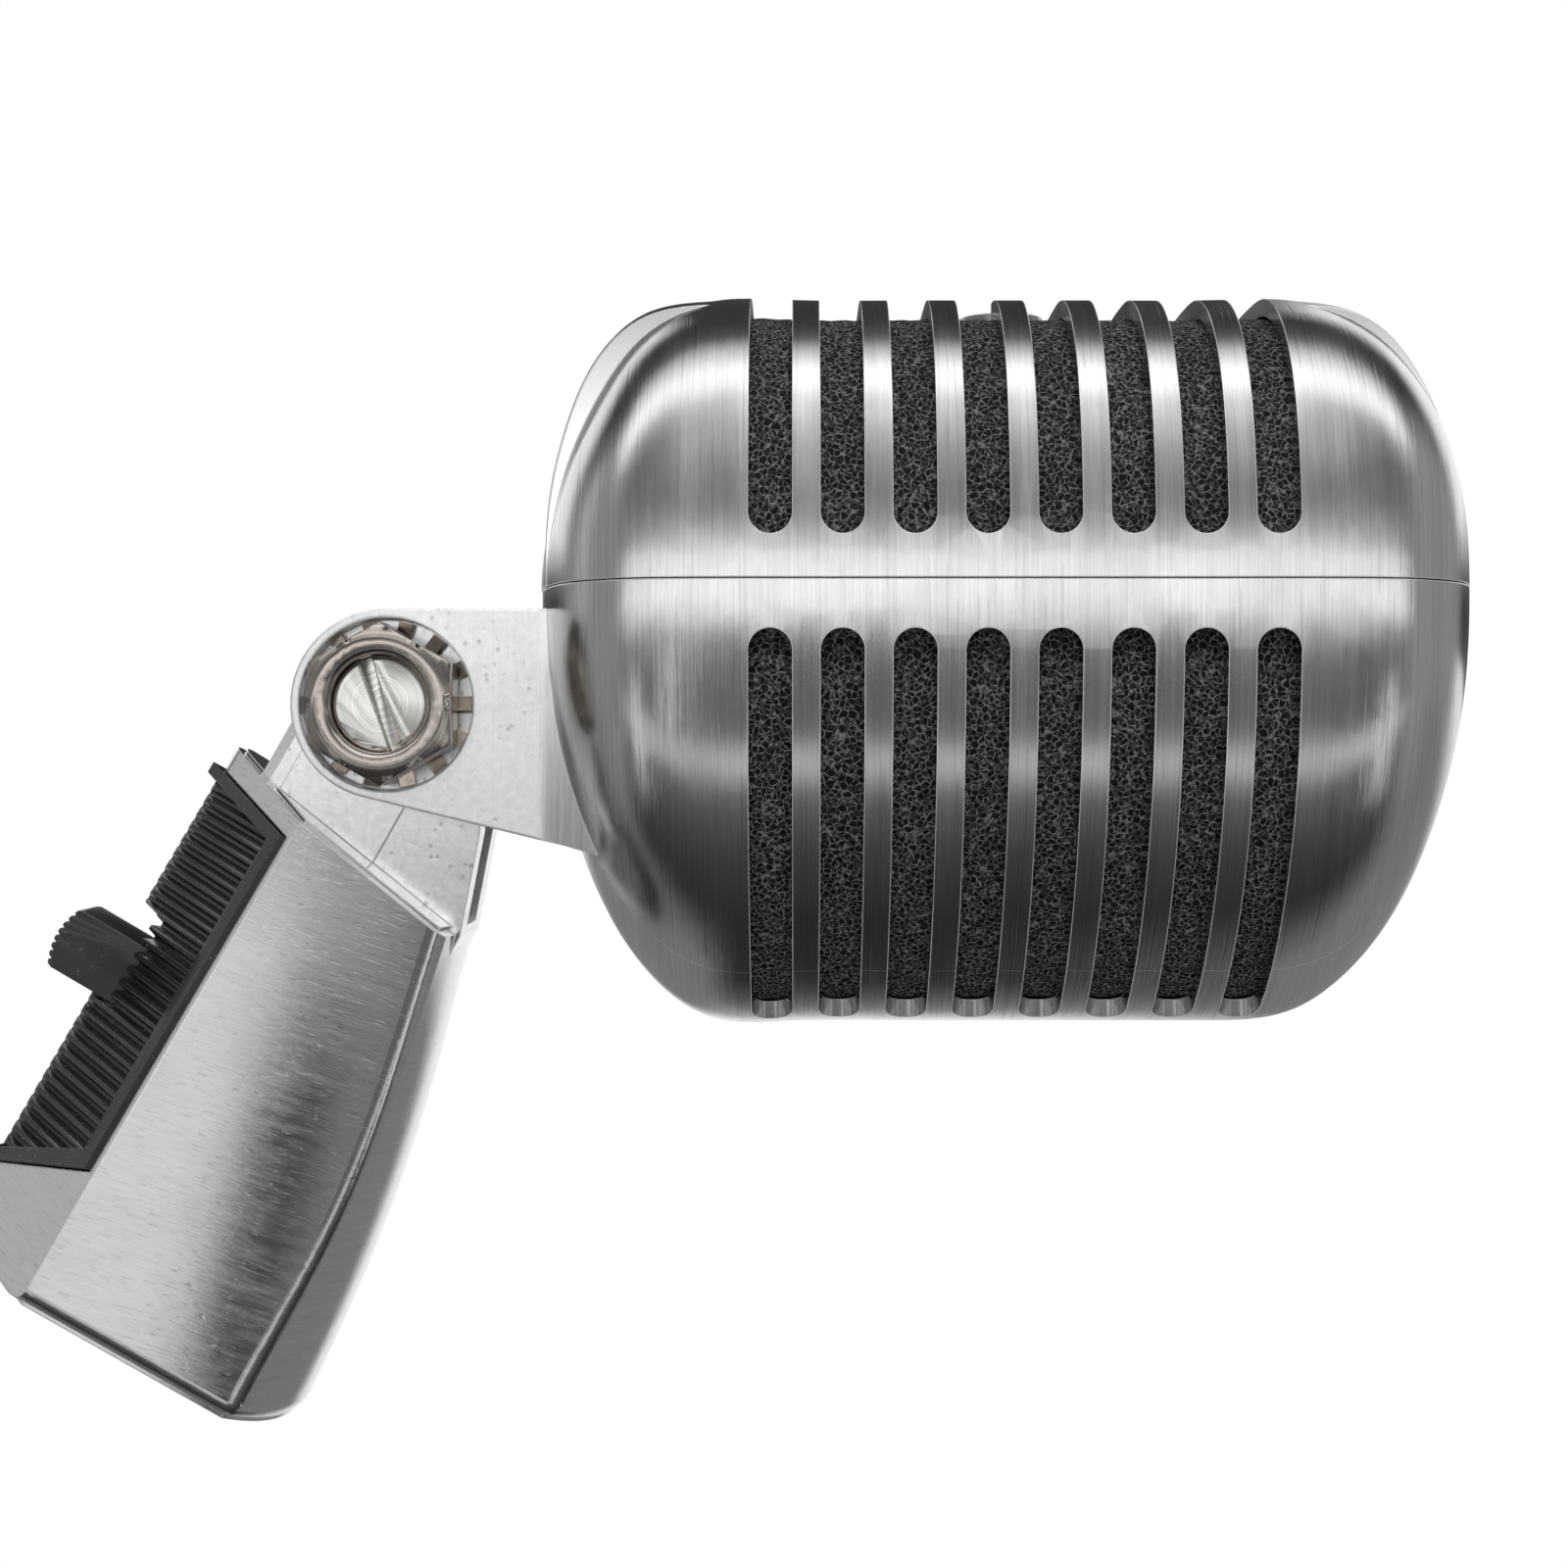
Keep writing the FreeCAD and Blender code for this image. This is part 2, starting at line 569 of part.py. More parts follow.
def slotted_screw(seat, direction, radius, length, head_radius, head_thick, slot):
    """Cheese-head screw: seat is the underside of its head, direction is the way it goes in."""
    shaft = cylinder(seat, direction, radius, length)
    cap = cylinder(seat, direction * -1, head_radius, head_thick)
    across = direction.cross(Vector(1, 0, 0) if abs(direction.x) < 0.5 else Vector(0, 0, 1))
    top = seat - direction * head_thick
    along = direction.cross(across)
    corner = top - across * FAR - along * (slot / 2)
    groove = polygon_prism([corner, corner + across * 2 * FAR, corner + across * 2 * FAR + along * slot,
                            corner + along * slot], direction * head_thick * 0.5)
    return merge([shaft, cap]).cut(groove)


def cover_screw():
    seat = head(0, -COVER_FACE + COVER_HEAD_THICK + COVER_HOLE_CLEAR, COVER_HEIGHT)
    length = seat.y - head(0, STANDOFF_END + COVER_GRIP, 0).y
    return slotted_screw(seat, Vector(0, -1, 0), COVER_SHAFT_R, length, COVER_HEAD_R, COVER_HEAD_THICK,
                         COVER_SLOT_WIDTH)


# --- Inside the head ----------------------------------------------------------------------
def capsule_bracket():
    """Stamped plate on four posts, with the standoff that takes the cover screw."""
    low, high = POST_FOOT - BRACKET_MARGIN, POST_TOP + BRACKET_MARGIN
    plate = block(head(-BRACKET_HALF_WIDTH, BRACKET_BACK, low), head(BRACKET_HALF_WIDTH, BRACKET_FACE, high))
    upright = [edge for edge in plate.Edges
               if edge.Curve.TypeId == "Part::GeomLine" and abs(edge.tangentAt(edge.FirstParameter).y) > 0.9]
    plate = plate.makeFillet(BRACKET_CORNER_R, upright)
    standoff = cylinder(head(0, BRACKET_BACK, COVER_HEIGHT), Vector(0, 1, 0), STANDOFF_R, STANDOFF_LENGTH)
    tools = [cylinder(head(across, -FAR, up), Vector(0, -1, 0), SCREW_R + PUSH_GAP, 2 * FAR)
             for across, up in bracket_posts()]
    tools.append(cylinder(head(0, STANDOFF_END, COVER_HEIGHT), Vector(0, -1, 0),
                          COVER_SHAFT_R + PUSH_GAP, COVER_GRIP + 1))
    tools += [cylinder(head(sum(LEADS_ACROSS) / 2, -FAR, up), Vector(0, -1, 0), LEAD_HOLE_R, 2 * FAR)
              for up in (LEAD_START, LEAD_END)]
    tools += [cylinder(head(across, -FAR, TRANSFORMER_HEIGHT), Vector(0, -1, 0),
                       STRAP_SCREW_R + PUSH_GAP, 2 * FAR) for across in strap_screws()]
    return merge([plate, standoff]).cut(tools)


def bracket_screws():
    return [slotted_screw(head(across, BRACKET_BACK, up), Vector(0, -1, 0), SCREW_R,
                          BRACKET_THICK + SCREW_GRIP, SCREW_HEAD_R, SCREW_HEAD_THICK, SCREW_SLOT)
            for across, up in bracket_posts()]


def on_capsule_axis(forward):
    return head(0, forward, CAPSULE_HEIGHT)


def shock_mount():
    """Rubber cup that holds the capsule's tail on the bracket."""
    forward = Vector(0, -1, 0)
    ring = tube(on_capsule_axis(BRACKET_FACE), forward, MOUNT_RING_R, MOUNT_RING_BORE, MOUNT_RING_DEPTH)
    seat = cylinder(on_capsule_axis(CAPSULE_BACK), forward, CAPSULE_R + PUSH_GAP, FAR)
    return ring.cut(seat)


def capsule_housing():
    forward = Vector(0, -1, 0)
    body = cylinder(on_capsule_axis(CAPSULE_BACK), forward, CAPSULE_R, CAPSULE_LENGTH - CAPSULE_CAP_THICK)
    bore = cylinder(on_capsule_axis(CAPSULE_BACK + CAPSULE_FLOOR), forward, CAPSULE_BORE_R, FAR)
    mouth = cylinder(on_capsule_axis(DIAPHRAGM_SEAT), forward, CAPSULE_MOUTH_R, FAR)
    return body.cut([bore, mouth])


def capsule_cap():
    """Front cap with a ring of sound holes round a centre hole."""
    forward = Vector(0, -1, 0)
    cap = cylinder(on_capsule_axis(CAPSULE_SEAT), forward, CAPSULE_R, CAPSULE_CAP_THICK)
    places = [Vector(0, 0, 0)]
    for index in range(CAP_HOLES):
        angle = 2 * math.pi * index / CAP_HOLES
        places.append(Vector(CAP_HOLE_CIRCLE * math.cos(angle), 0, CAP_HOLE_CIRCLE * math.sin(angle)))
    return cap.cut([cylinder(on_capsule_axis(0) + place, forward, CAP_HOLE_R, FAR) for place in places])


def diaphragm():
    """Thin disc with a domed middle, clamped at its rim."""
    forward = Vector(0, -1, 0)
    ball_r = (DOME_R ** 2 + DIAPHRAGM_RISE ** 2) / (2 * DIAPHRAGM_RISE)
    back_centre = on_capsule_axis(DIAPHRAGM_SEAT + DIAPHRAGM_RISE - ball_r)
    front_centre = back_centre + forward * DIAPHRAGM_THICK
    disc = cylinder(on_capsule_axis(DIAPHRAGM_SEAT), forward, CAPSULE_MOUTH_R - PUSH_GAP, DIAPHRAGM_THICK)
    room = cylinder(on_capsule_axis(DIAPHRAGM_SEAT), forward, DOME_R, FAR)
    dome = Part.makeSphere(ball_r + DIAPHRAGM_THICK / 2, front_centre).common(room)
    return merge([disc, dome]).cut(Part.makeSphere(ball_r, back_centre))


def magnet():
    """Pot magnet with the ring groove that the voice coil dips into."""
    forward = Vector(0, -1, 0)
    pot = cylinder(on_capsule_axis(CAPSULE_BACK + CAPSULE_FLOOR), forward, MAGNET_R, MAGNET_LENGTH)
    room = COIL_WALL / 2 + COIL_ROOM
    groove = tube(on_capsule_axis(MAGNET_FACE - GROOVE_DEPTH), forward, COIL_R + room, COIL_R - room, FAR)
    return pot.cut(groove)


def voice_coil():
    start = MAGNET_FACE - COIL_DIP
    return tube(on_capsule_axis(start), Vector(0, -1, 0), COIL_R + COIL_WALL / 2, COIL_R - COIL_WALL / 2,
                DIAPHRAGM_SEAT - start)


def transformer_block(half_width, back, front, half_height):
    return block(head(-half_width, back, TRANSFORMER_HEIGHT - half_height),
                 head(half_width, front, TRANSFORMER_HEIGHT + half_height))


def winding_depth():
    """Back and front of the winding between the core's yokes."""
    return (BRACKET_FACE + CORE_LIMB + WINDING_GAP, BRACKET_FACE + CORE_DEPTH - CORE_LIMB - WINDING_GAP)


def transformer_core():
    """Laminated core with two windows."""
    core = transformer_block(CORE_HALF_WIDTH, BRACKET_FACE, BRACKET_FACE + CORE_DEPTH, CORE_STACK / 2)
    window = transformer_block(CORE_HALF_WIDTH - CORE_LIMB, BRACKET_FACE + CORE_LIMB,
                               BRACKET_FACE + CORE_DEPTH - CORE_LIMB, FAR)
    limb = transformer_block(CORE_MIDDLE_LIMB / 2, 0, FAR, FAR)
    return core.cut(window.cut(limb))


def transformer_winding():
    """Winding round the middle limb."""
    back, front = winding_depth()
    outside = transformer_block(CORE_HALF_WIDTH - CORE_LIMB - WINDING_GAP, back, front,
                                CORE_STACK / 2 + WINDING_WALL)
    inside = transformer_block(CORE_MIDDLE_LIMB / 2 + WINDING_GAP, 0, FAR, CORE_STACK / 2 + WINDING_GAP)
    return outside.cut(inside)


def strap_screws():
    """Places of the strap's screws across the bracket."""
    place = CORE_HALF_WIDTH + STRAP_THICK + STRAP_EAR / 2
    return (-place, place)


def transformer_strap():
    """Strap over the core with an ear at each side."""
    front = BRACKET_FACE + CORE_DEPTH
    outside = transformer_block(CORE_HALF_WIDTH + STRAP_THICK, BRACKET_FACE, front + STRAP_THICK,
                                STRAP_HALF_WIDTH)
    inside = transformer_block(CORE_HALF_WIDTH, 0, front, FAR)
    ears = transformer_block(CORE_HALF_WIDTH + STRAP_THICK + STRAP_EAR, BRACKET_FACE,
                             BRACKET_FACE + STRAP_THICK, STRAP_HALF_WIDTH)
    holes = [cylinder(head(across, 0, TRANSFORMER_HEIGHT), Vector(0, -1, 0), STRAP_SCREW_R + PUSH_GAP, FAR)
             for across in strap_screws()]
    return merge([outside, ears]).cut([inside] + holes)


def transformer_screws():
    return [slotted_screw(head(across, BRACKET_FACE + STRAP_THICK, TRANSFORMER_HEIGHT), Vector(0, 1, 0),
                          STRAP_SCREW_R, STRAP_THICK + BRACKET_THICK, STRAP_SCREW_HEAD_R,
                          STRAP_SCREW_HEAD_THICK, SCREW_SLOT) for across in strap_screws()]


def bent_wire(points, bend, radius):
    """Round wire along straight runs joined by tangent arcs."""
    edges, start = [], points[0]
    for before, corner, after in zip(points, points[1:], points[2:]):
        back = (before - corner).normalize()
        onward = (after - corner).normalize()
        enter, leave = corner + back * bend, corner + onward * bend
        middle = corner + (back + onward) * bend * (1 - math.sqrt(0.5))
        edges += [line(start, enter), arc(enter, middle, leave)]
        start = leave
    edges.append(line(start, points[-1]))
    section = Part.Face(Part.Wire([Part.makeCircle(radius, points[0], points[1] - points[0])]))
    return Part.Wire(edges).makePipe(section)


def capsule_leads():
    """Two thin wires from the capsule's tail, behind the bracket, to the transformer."""
    behind, winding_back = BRACKET_BACK - LEAD_BEHIND, winding_depth()[0]
    return [bent_wire([head(across, CAPSULE_BACK, LEAD_START), head(across, behind, LEAD_START),
                       head(across, behind, LEAD_END), head(across, winding_back, LEAD_END)],
                      LEAD_BEND_R, LEAD_R) for across in LEADS_ACROSS]


# --- Pivot --------------------------------------------------------------------------------
def on_pivot(across):
    return head(across, PIVOT_FORWARD, -PIVOT_BELOW_HEAD)


def pivot_stud():
    """Threaded stud through the fork and the lug, with a screwdriver slot in each end."""
    outline = [on_pivot(-STUD_END), on_pivot(-STUD_END) + Vector(0, 0, STUD_R - STUD_CHAMFER),
               on_pivot(STUD_CHAMFER - STUD_END) + Vector(0, 0, STUD_R),
               on_pivot(STUD_END - STUD_CHAMFER) + Vector(0, 0, STUD_R),
               on_pivot(STUD_END) + Vector(0, 0, STUD_R - STUD_CHAMFER), on_pivot(STUD_END)]
    stud = Part.Face(Part.makePolygon(outline + [outline[0]])).revolve(on_pivot(0), Vector(1, 0, 0), 360)
    groove = Part.makeBox(STUD_SLOT_DEPTH, 4 * STUD_R, STUD_SLOT_WIDTH,
                          Vector(STUD_END - STUD_SLOT_DEPTH, -2 * STUD_R, -STUD_SLOT_WIDTH / 2))
    groove.rotate(Vector(0, 0, 0), Vector(1, 0, 0), -STUD_SLOT_ANGLE)
    groove.translate(on_pivot(0))
    return stud.cut(both_sides(groove))


def pivot_nut():
    """Hexagon nut with a chamfered top, on the positive side."""
    start = ARM_FLOOR + WASHER_STACK
    corners = [on_pivot(start) + Vector(0, NUT_CORNER_R * math.cos(math.pi * turn / 3),
                                        NUT_CORNER_R * math.sin(math.pi * turn / 3)) for turn in range(6)]
    hexagon = polygon_prism(corners, Vector(NUT_TOP - start, 0, 0))
    foot = cylinder(on_pivot(start), Vector(1, 0, 0), NUT_CORNER_R, NUT_TOP - NUT_CHAMFER - start)
    crown = Part.makeCone(NUT_CORNER_R, NUT_ACROSS_FLATS / 2 - NUT_TOP_DROP, NUT_CHAMFER,
                          on_pivot(NUT_TOP - NUT_CHAMFER), Vector(1, 0, 0))
    bore_r = STUD_R + STUD_CLEAR
    bore = cylinder(on_pivot(0), Vector(1, 0, 0), bore_r, FAR)
    mouth = Part.makeCone(bore_r, bore_r + NUT_MOUTH, NUT_MOUTH, on_pivot(NUT_TOP - NUT_MOUTH),
                          Vector(1, 0, 0))
    return hexagon.common(merge([foot, crown])).cut([bore, mouth])


def lock_washer():
    """Toothed washer with twisted teeth, on the positive side."""
    middle = ARM_FLOOR + WASHER_STACK / 2
    ring = tube(on_pivot(middle - WASHER_THICK / 2), Vector(1, 0, 0), WASHER_RING_R, STUD_R + 2 * STUD_CLEAR,
                WASHER_THICK)
    reach = WASHER_R - WASHER_RING_R + WASHER_THICK
    tooth = Part.makeBox(WASHER_THICK, WASHER_TOOTH, reach, Vector(-WASHER_THICK / 2, -WASHER_TOOTH / 2, 0))
    tooth.rotate(Vector(0, 0, 0), Vector(0, 0, 1), WASHER_TWIST)
    tooth.translate(on_pivot(middle) + Vector(0, 0, WASHER_RING_R - WASHER_THICK))
    teeth = []
    for index in range(WASHER_TEETH):
        turned = tooth.copy()
        turned.rotate(on_pivot(middle), Vector(1, 0, 0), 360.0 * index / WASHER_TEETH)
        teeth.append(turned)
    return merge([ring] + teeth)


def friction_washer():
    """Fibre washer between the arm and the lug, on the positive side."""
    return tube(on_pivot(ARM_INNER - FRICTION_THICK), Vector(1, 0, 0), FRICTION_R, STUD_R + STUD_CLEAR,
                FRICTION_THICK)


# --- The back's own frame -----------------------------------------------------------------
# Switch parts are drawn from the ridge where the back's two faces would meet: X across, +Y to the back.
def plate_block(half_width, near, far, top, bottom):
    """Box between two distances behind the ridge and two depths."""
    return block(Vector(-half_width, near, SWITCH_DEPTH - bottom),
                 Vector(half_width, far, SWITCH_DEPTH - top))


def place_on_back(shape):
    """Lean a switch part with the back and move it to its place below the pivot."""
    lean = math.atan2(RIDGE[0] - RIDGE_LOW[0], RIDGE_LOW[1] - RIDGE[1])
    shape.rotate(Vector(0, 0, 0), Vector(1, 0, 0), math.degrees(lean))
    shape.translate(base(0, ridge_at(SWITCH_DEPTH), SWITCH_DEPTH))
    return shape


def plate_prism(grow):
    """Long hexagon of the plate, grown all round, as a prism towards the back."""
    half = PLATE_HALF_WIDTH + grow
    top, bottom = PLATE_TOP - grow, PLATE_BOTTOM + grow
    corners = [(half, top), (0, top - PLATE_TOP_RISE), (-half, top),
               (-half, bottom), (0, bottom + PLATE_BOTTOM_DROP), (half, bottom)]
    return polygon_prism([Vector(across, -FAR, SWITCH_DEPTH - down) for across, down in corners],
                         Vector(0, 2 * FAR, 0))


def vee(out, ridge_round):
    """Everything inside the back's two faces, moved out. The ridge between them is rounded off."""
    top = out / math.sin(HALF_ANGLE)
    wedge = polygon_prism([Vector(0, top, -FAR), Vector(FAR, top - BACK_SLOPE * FAR, -FAR),
                           Vector(-FAR, top - BACK_SLOPE * FAR, -FAR)], Vector(0, 0, 2 * FAR))
    if not ridge_round:
        return wedge
    ridge = [edge for edge in wedge.Edges if all(abs(vertex.X) < 0.001 for vertex in edge.Vertexes)]
    return wedge.makeFillet(ridge_round, ridge)


def plate_recess():
    """Seat of the switch plate in the casting."""
    return place_on_back(plate_prism(PLATE_GAP).cut(vee(-PLATE_THICK - PUSH_GAP, RIDGE_ROUND)))


def plate_ribs():
    """Cross ribs: one toothed profile swept along both faces, climbing a little from the ridge."""
    low = SWITCH_DEPTH - PLATE_BOTTOM - PLATE_BOTTOM_DROP - FAR * RIB_CLIMB
    count = int((SWITCH_DEPTH - PLATE_TOP + PLATE_TOP_RISE - low) / RIB_PITCH)
    out = Vector(math.cos(HALF_ANGLE), math.sin(HALF_ANGLE), 0)
    along = Vector(math.sin(HALF_ANGLE), -math.cos(HALF_ANGLE), RIB_CLIMB)
    start = along * -RIDGE_ROUND
    points = [start + out * (-2 * PLATE_FIELD) + Vector(0, 0, low)]
    for index in range(count):
        middle = low + (index + 0.5) * RIB_PITCH
        points += [start + out * reach + Vector(0, 0, middle + half) for reach, half in
                   ((-PLATE_FIELD, -RIB_FOOT / 2), (RIB_RISE, -RIB_TOP / 2), (RIB_RISE, RIB_TOP / 2),
                    (-PLATE_FIELD, RIB_FOOT / 2))]
    points.append(start + out * (-2 * PLATE_FIELD) + Vector(0, 0, low + count * RIB_PITCH))
    one_side = block(Vector(0, -FAR, -FAR), Vector(FAR, FAR, FAR))
    swept = polygon_prism(points, along * (FAR / 2)).common(one_side)
    return [half.common(vee(RIB_RISE, RIDGE_ROUND)) for half in both_sides(swept)]


def switch_screw_places():
    """Heights of the two switch screws in the back's frame."""
    place = SWITCH_HEIGHT / 2 + SWITCH_EAR / 2
    return (-place, place)


def knob_room():
    """Slot in the plate for the knob over its travel."""
    half = KNOB_LENGTH / 2 + KNOB_GAP
    return plate_block(KNOB_HALF_WIDTH + KNOB_GAP, -FAR / 2, FAR, SWITCH_DEPTH - half - KNOB_TRAVEL,
                       SWITCH_DEPTH + half)


def switch_plate():
    """Moulded plate over the back's two faces: rim, sunk field, cross ribs and two bosses inside."""
    outline, inner = plate_prism(0), plate_prism(-RIM_WIDTH)
    rim = outline.cut(inner).common(vee(PLATE_PROUD, 0))
    field = outline.common(vee(-PLATE_FIELD, RIDGE_ROUND))
    ribs = [rib.common(inner) for rib in plate_ribs()]
    plate = merge([rim, field] + ribs).cut(vee(-PLATE_THICK, RIDGE_ROUND))
    under = vee(-(PLATE_FIELD + PLATE_THICK) / 2, RIDGE_ROUND)
    bosses = [cylinder(Vector(0, SWITCH_FACE, up), Vector(0, 1, 0), SWITCH_BOSS_R, FAR).common(under)
              for up in switch_screw_places()]
    holes = [cylinder(Vector(0, SWITCH_FACE, up), Vector(0, 1, 0), SWITCH_SCREW_R + PUSH_GAP,
                      SWITCH_SCREW_GRIP + PUSH_GAP) for up in switch_screw_places()]
    return place_on_back(merge([plate] + bosses).cut(holes + [knob_room()]))


def switch_body():
    """Slide switch with an ear at each end."""
    half = SWITCH_HEIGHT / 2
    body = plate_block(SWITCH_HALF_WIDTH, SWITCH_FACE - SWITCH_BODY_DEPTH, SWITCH_FACE,
                       SWITCH_DEPTH - half, SWITCH_DEPTH + half)
    ears = plate_block(SWITCH_HALF_WIDTH, SWITCH_FACE - SWITCH_EAR_THICK, SWITCH_FACE,
                       SWITCH_DEPTH - half - SWITCH_EAR, SWITCH_DEPTH + half + SWITCH_EAR)
    holes = [cylinder(Vector(0, -FAR, up), Vector(0, 1, 0), SWITCH_SCREW_R + PUSH_GAP, FAR)
             for up in switch_screw_places()]
    return place_on_back(merge([body, ears]).cut(holes))


def switch_screws():
    return [place_on_back(slotted_screw(Vector(0, SWITCH_FACE - SWITCH_EAR_THICK, up), Vector(0, 1, 0),
                                        SWITCH_SCREW_R, SWITCH_EAR_THICK + SWITCH_SCREW_GRIP,
                                        SWITCH_SCREW_HEAD_R, SWITCH_SCREW_HEAD_THICK, SCREW_SLOT))
            for up in switch_screw_places()]


def switch_terminals():
    """Solder tabs on the inner face of the switch."""
    near = SWITCH_FACE - SWITCH_BODY_DEPTH
    tabs = []
    for index in range(TERMINALS):
        down = SWITCH_DEPTH + (index - (TERMINALS - 1) / 2) * TERMINAL_PITCH
        tabs.append(place_on_back(plate_block(TERMINAL_HALF_WIDTH, near - TERMINAL_LENGTH, near,
                                              down - TERMINAL_THICK / 2, down + TERMINAL_THICK / 2)))
    return tabs


def switch_slider():
    """Knob with a crowned, serrated end, on a flat foot that runs on the switch."""
    foot_near = SWITCH_FACE + SLIDE_GAP
    half = FOOT_LENGTH / 2
    foot = plate_block(FOOT_HALF_WIDTH, foot_near, foot_near + FOOT_THICK, SWITCH_DEPTH - half,
                       SWITCH_DEPTH + half)
    pitch = KNOB_LENGTH / KNOB_TEETH

    def crowned(up, depth):
        crown = KNOB_CROWN * (2 * up / KNOB_LENGTH) ** 2
        return Vector(-KNOB_HALF_WIDTH, KNOB_PROUD - crown - depth, up)

    points = [Vector(-KNOB_HALF_WIDTH, foot_near, -KNOB_LENGTH / 2)]
    for index in range(KNOB_TEETH):
        start = -KNOB_LENGTH / 2 + index * pitch
        points += [crowned(start, KNOB_TOOTH), crowned(start + pitch / 4, 0),
                   crowned(start + pitch * 3 / 4, 0)]
    points += [crowned(KNOB_LENGTH / 2, KNOB_TOOTH), Vector(-KNOB_HALF_WIDTH, foot_near, KNOB_LENGTH / 2)]
    return place_on_back(merge([foot, polygon_prism(points, Vector(2 * KNOB_HALF_WIDTH, 0, 0))]))


# --- Cable connector ----------------------------------------------------------------------
def pin_places():
    """Places of the contact pins: across and forward."""
    turns = [math.radians(angle) for angle in PIN_ANGLES]
    return [(PIN_CIRCLE * math.cos(turn), SOCKET_FORWARD + PIN_CIRCLE * math.sin(turn)) for turn in turns]


def set_screw_tip():
    """Forward place of the set screw's tip inside the insert."""
    return SOCKET_FORWARD - SOCKET_R + INSERT_GAP + SET_SCREW_BITE


def connector_insert():
    """Insulating disc at the end of the socket."""
    disc = cylinder(base(0, SOCKET_FORWARD, INSERT_FACE), Vector(0, 0, 1), SOCKET_R - INSERT_GAP,
                    INSERT_THICK)
    holes = [cylinder(base(across, forward, BASE_DROP), Vector(0, 0, 1), PIN_R + PIN_GAP, FAR)
             for across, forward in pin_places()]
    screw_hole = cylinder(base(0, set_screw_tip() + PUSH_GAP, SET_SCREW_DEPTH), Vector(0, 1, 0),
                          SET_SCREW_R + PUSH_GAP, FAR)
    return disc.cut(holes + [screw_hole])


def connector_pins():
    """Three contact pins with round tips."""
    pins = []
    for across, forward in pin_places():
        tip = base(across, forward, BASE_DROP - PIN_SINK - PIN_R)
        length = BASE_DROP - PIN_SINK - PIN_R - SOCKET_END + PIN_TAIL
        pins.append(merge([cylinder(tip, Vector(0, 0, 1), PIN_R, length), Part.makeSphere(PIN_R, tip)]))
    return pins


def connector_screw():
    """Set screw under the switch plate that holds the insert."""
    start = base(0, set_screw_tip(), SET_SCREW_DEPTH)
    half = max(SET_SCREW_R, RIDGE_ROUND * math.cos(HALF_ANGLE))
    seat = PLATE_THICK / math.sin(HALF_ANGLE) + half * BACK_SLOPE
    end = base(0, ridge_at(SET_SCREW_DEPTH) + seat + 2 * PUSH_GAP, SET_SCREW_DEPTH)
    screw = rod(start, end, SET_SCREW_R)
    groove = block(end + Vector(-FAR, -SET_SCREW_R / 2, -SCREW_SLOT / 2),
                   end + Vector(FAR, FAR, SCREW_SLOT / 2))
    return screw.cut(groove)


# --- Base casting -------------------------------------------------------------------------
def slope_between(first, second, forward):
    """Depth at a forward place on the straight line through two (forward, down) points."""
    return first[1] + (forward - first[0]) * (second[1] - first[1]) / (second[0] - first[0])


def ridge_at(down):
    """Forward place of the ridge at a depth."""
    share = (down - RIDGE[1]) / (RIDGE_LOW[1] - RIDGE[1])
    return RIDGE[0] + share * (RIDGE_LOW[0] - RIDGE[0])


def base_section(down, crease, nose, inset):
    """Plan section of the casting in front of the back's faces: two flat sides and a bowed front."""
    half = BASE_HALF_WIDTH - inset
    return Part.Wire([line(base(half, -FAR, down), base(half, crease - inset, down)),
                      arc(base(half, crease - inset, down), base(0, nose - inset, down),
                          base(-half, crease - inset, down)),
                      line(base(-half, crease - inset, down), base(-half, -FAR, down)),
                      line(base(-half, -FAR, down), base(half, -FAR, down))])


def base_form(inset=0.0):
    sections = [base_section(share * BASE_DROP, crease, nose, inset) for share, crease, nose in BASE_ROWS]
    front = Part.makeLoft(sections, True, False, False, LOFT_DEGREE)
    return front.common(place_on_back(vee(-inset, RIDGE_ROUND)))


def above_shoulder(lift=0.0):
    """Everything above the slanted top."""
    back, front = -FAR, FAR
    return polygon_prism([base(-FAR, back, -FAR), base(-FAR, front, -FAR),
                          base(-FAR, front, slope_between(SHOULDER, SHOULDER_FRONT, front) - lift),
                          base(-FAR, back, slope_between(SHOULDER, SHOULDER_FRONT, back) - lift)],
                         Vector(2 * FAR, 0, 0))


def lug():
    """Upright lug that sits in the fork, with a raised friction boss on each side."""
    reach = math.hypot(*LUG_KNEE)
    turn = math.atan2(LUG_KNEE[1], LUG_KNEE[0]) - math.acos(LUG_TOP_R / reach)
    back_down = -math.sqrt(LUG_TOP_R ** 2 - LUG_BACK ** 2)

    def slab(half):
        def point(forward, down):
            return base(-half, forward, down)
        tangent = point(LUG_TOP_R * math.cos(turn), LUG_TOP_R * math.sin(turn))
        outline = [line(point(LUG_BACK, LUG_ROOT), point(LUG_BACK, back_down)),
                   arc(point(LUG_BACK, back_down), point(0, -LUG_TOP_R), tangent),
                   line(tangent, point(*LUG_KNEE)), line(point(*LUG_KNEE), point(*LUG_FRONT)),
                   line(point(*LUG_FRONT), point(LUG_FRONT[0], LUG_ROOT)),
                   line(point(LUG_FRONT[0], LUG_ROOT), point(LUG_BACK, LUG_ROOT))]
        return prism(outline, Vector(2 * half, 0, 0))

    strip = block(base(-FAR, -BOSS_HALF_LENGTH, -FAR), base(FAR, BOSS_HALF_LENGTH, FAR))
    return merge([slab(LUG_HALF_WIDTH), slab(BOSS_FACE).common(strip)]).common(place_on_back(vee(0, 0)))


def is_front_crease(edge):
    """True for the two long edges between the flat sides and the bowed front."""
    ends = [vertex.Point for vertex in edge.Vertexes]
    return (len(ends) == 2 and abs(ends[0].z - ends[1].z) > BASE_DROP / 2
            and all(abs(end.x) > BASE_HALF_WIDTH - 1 and end.y < 0 for end in ends)
            and all(-end.y > BASE_ROWS[0][1] - 1 for end in ends))


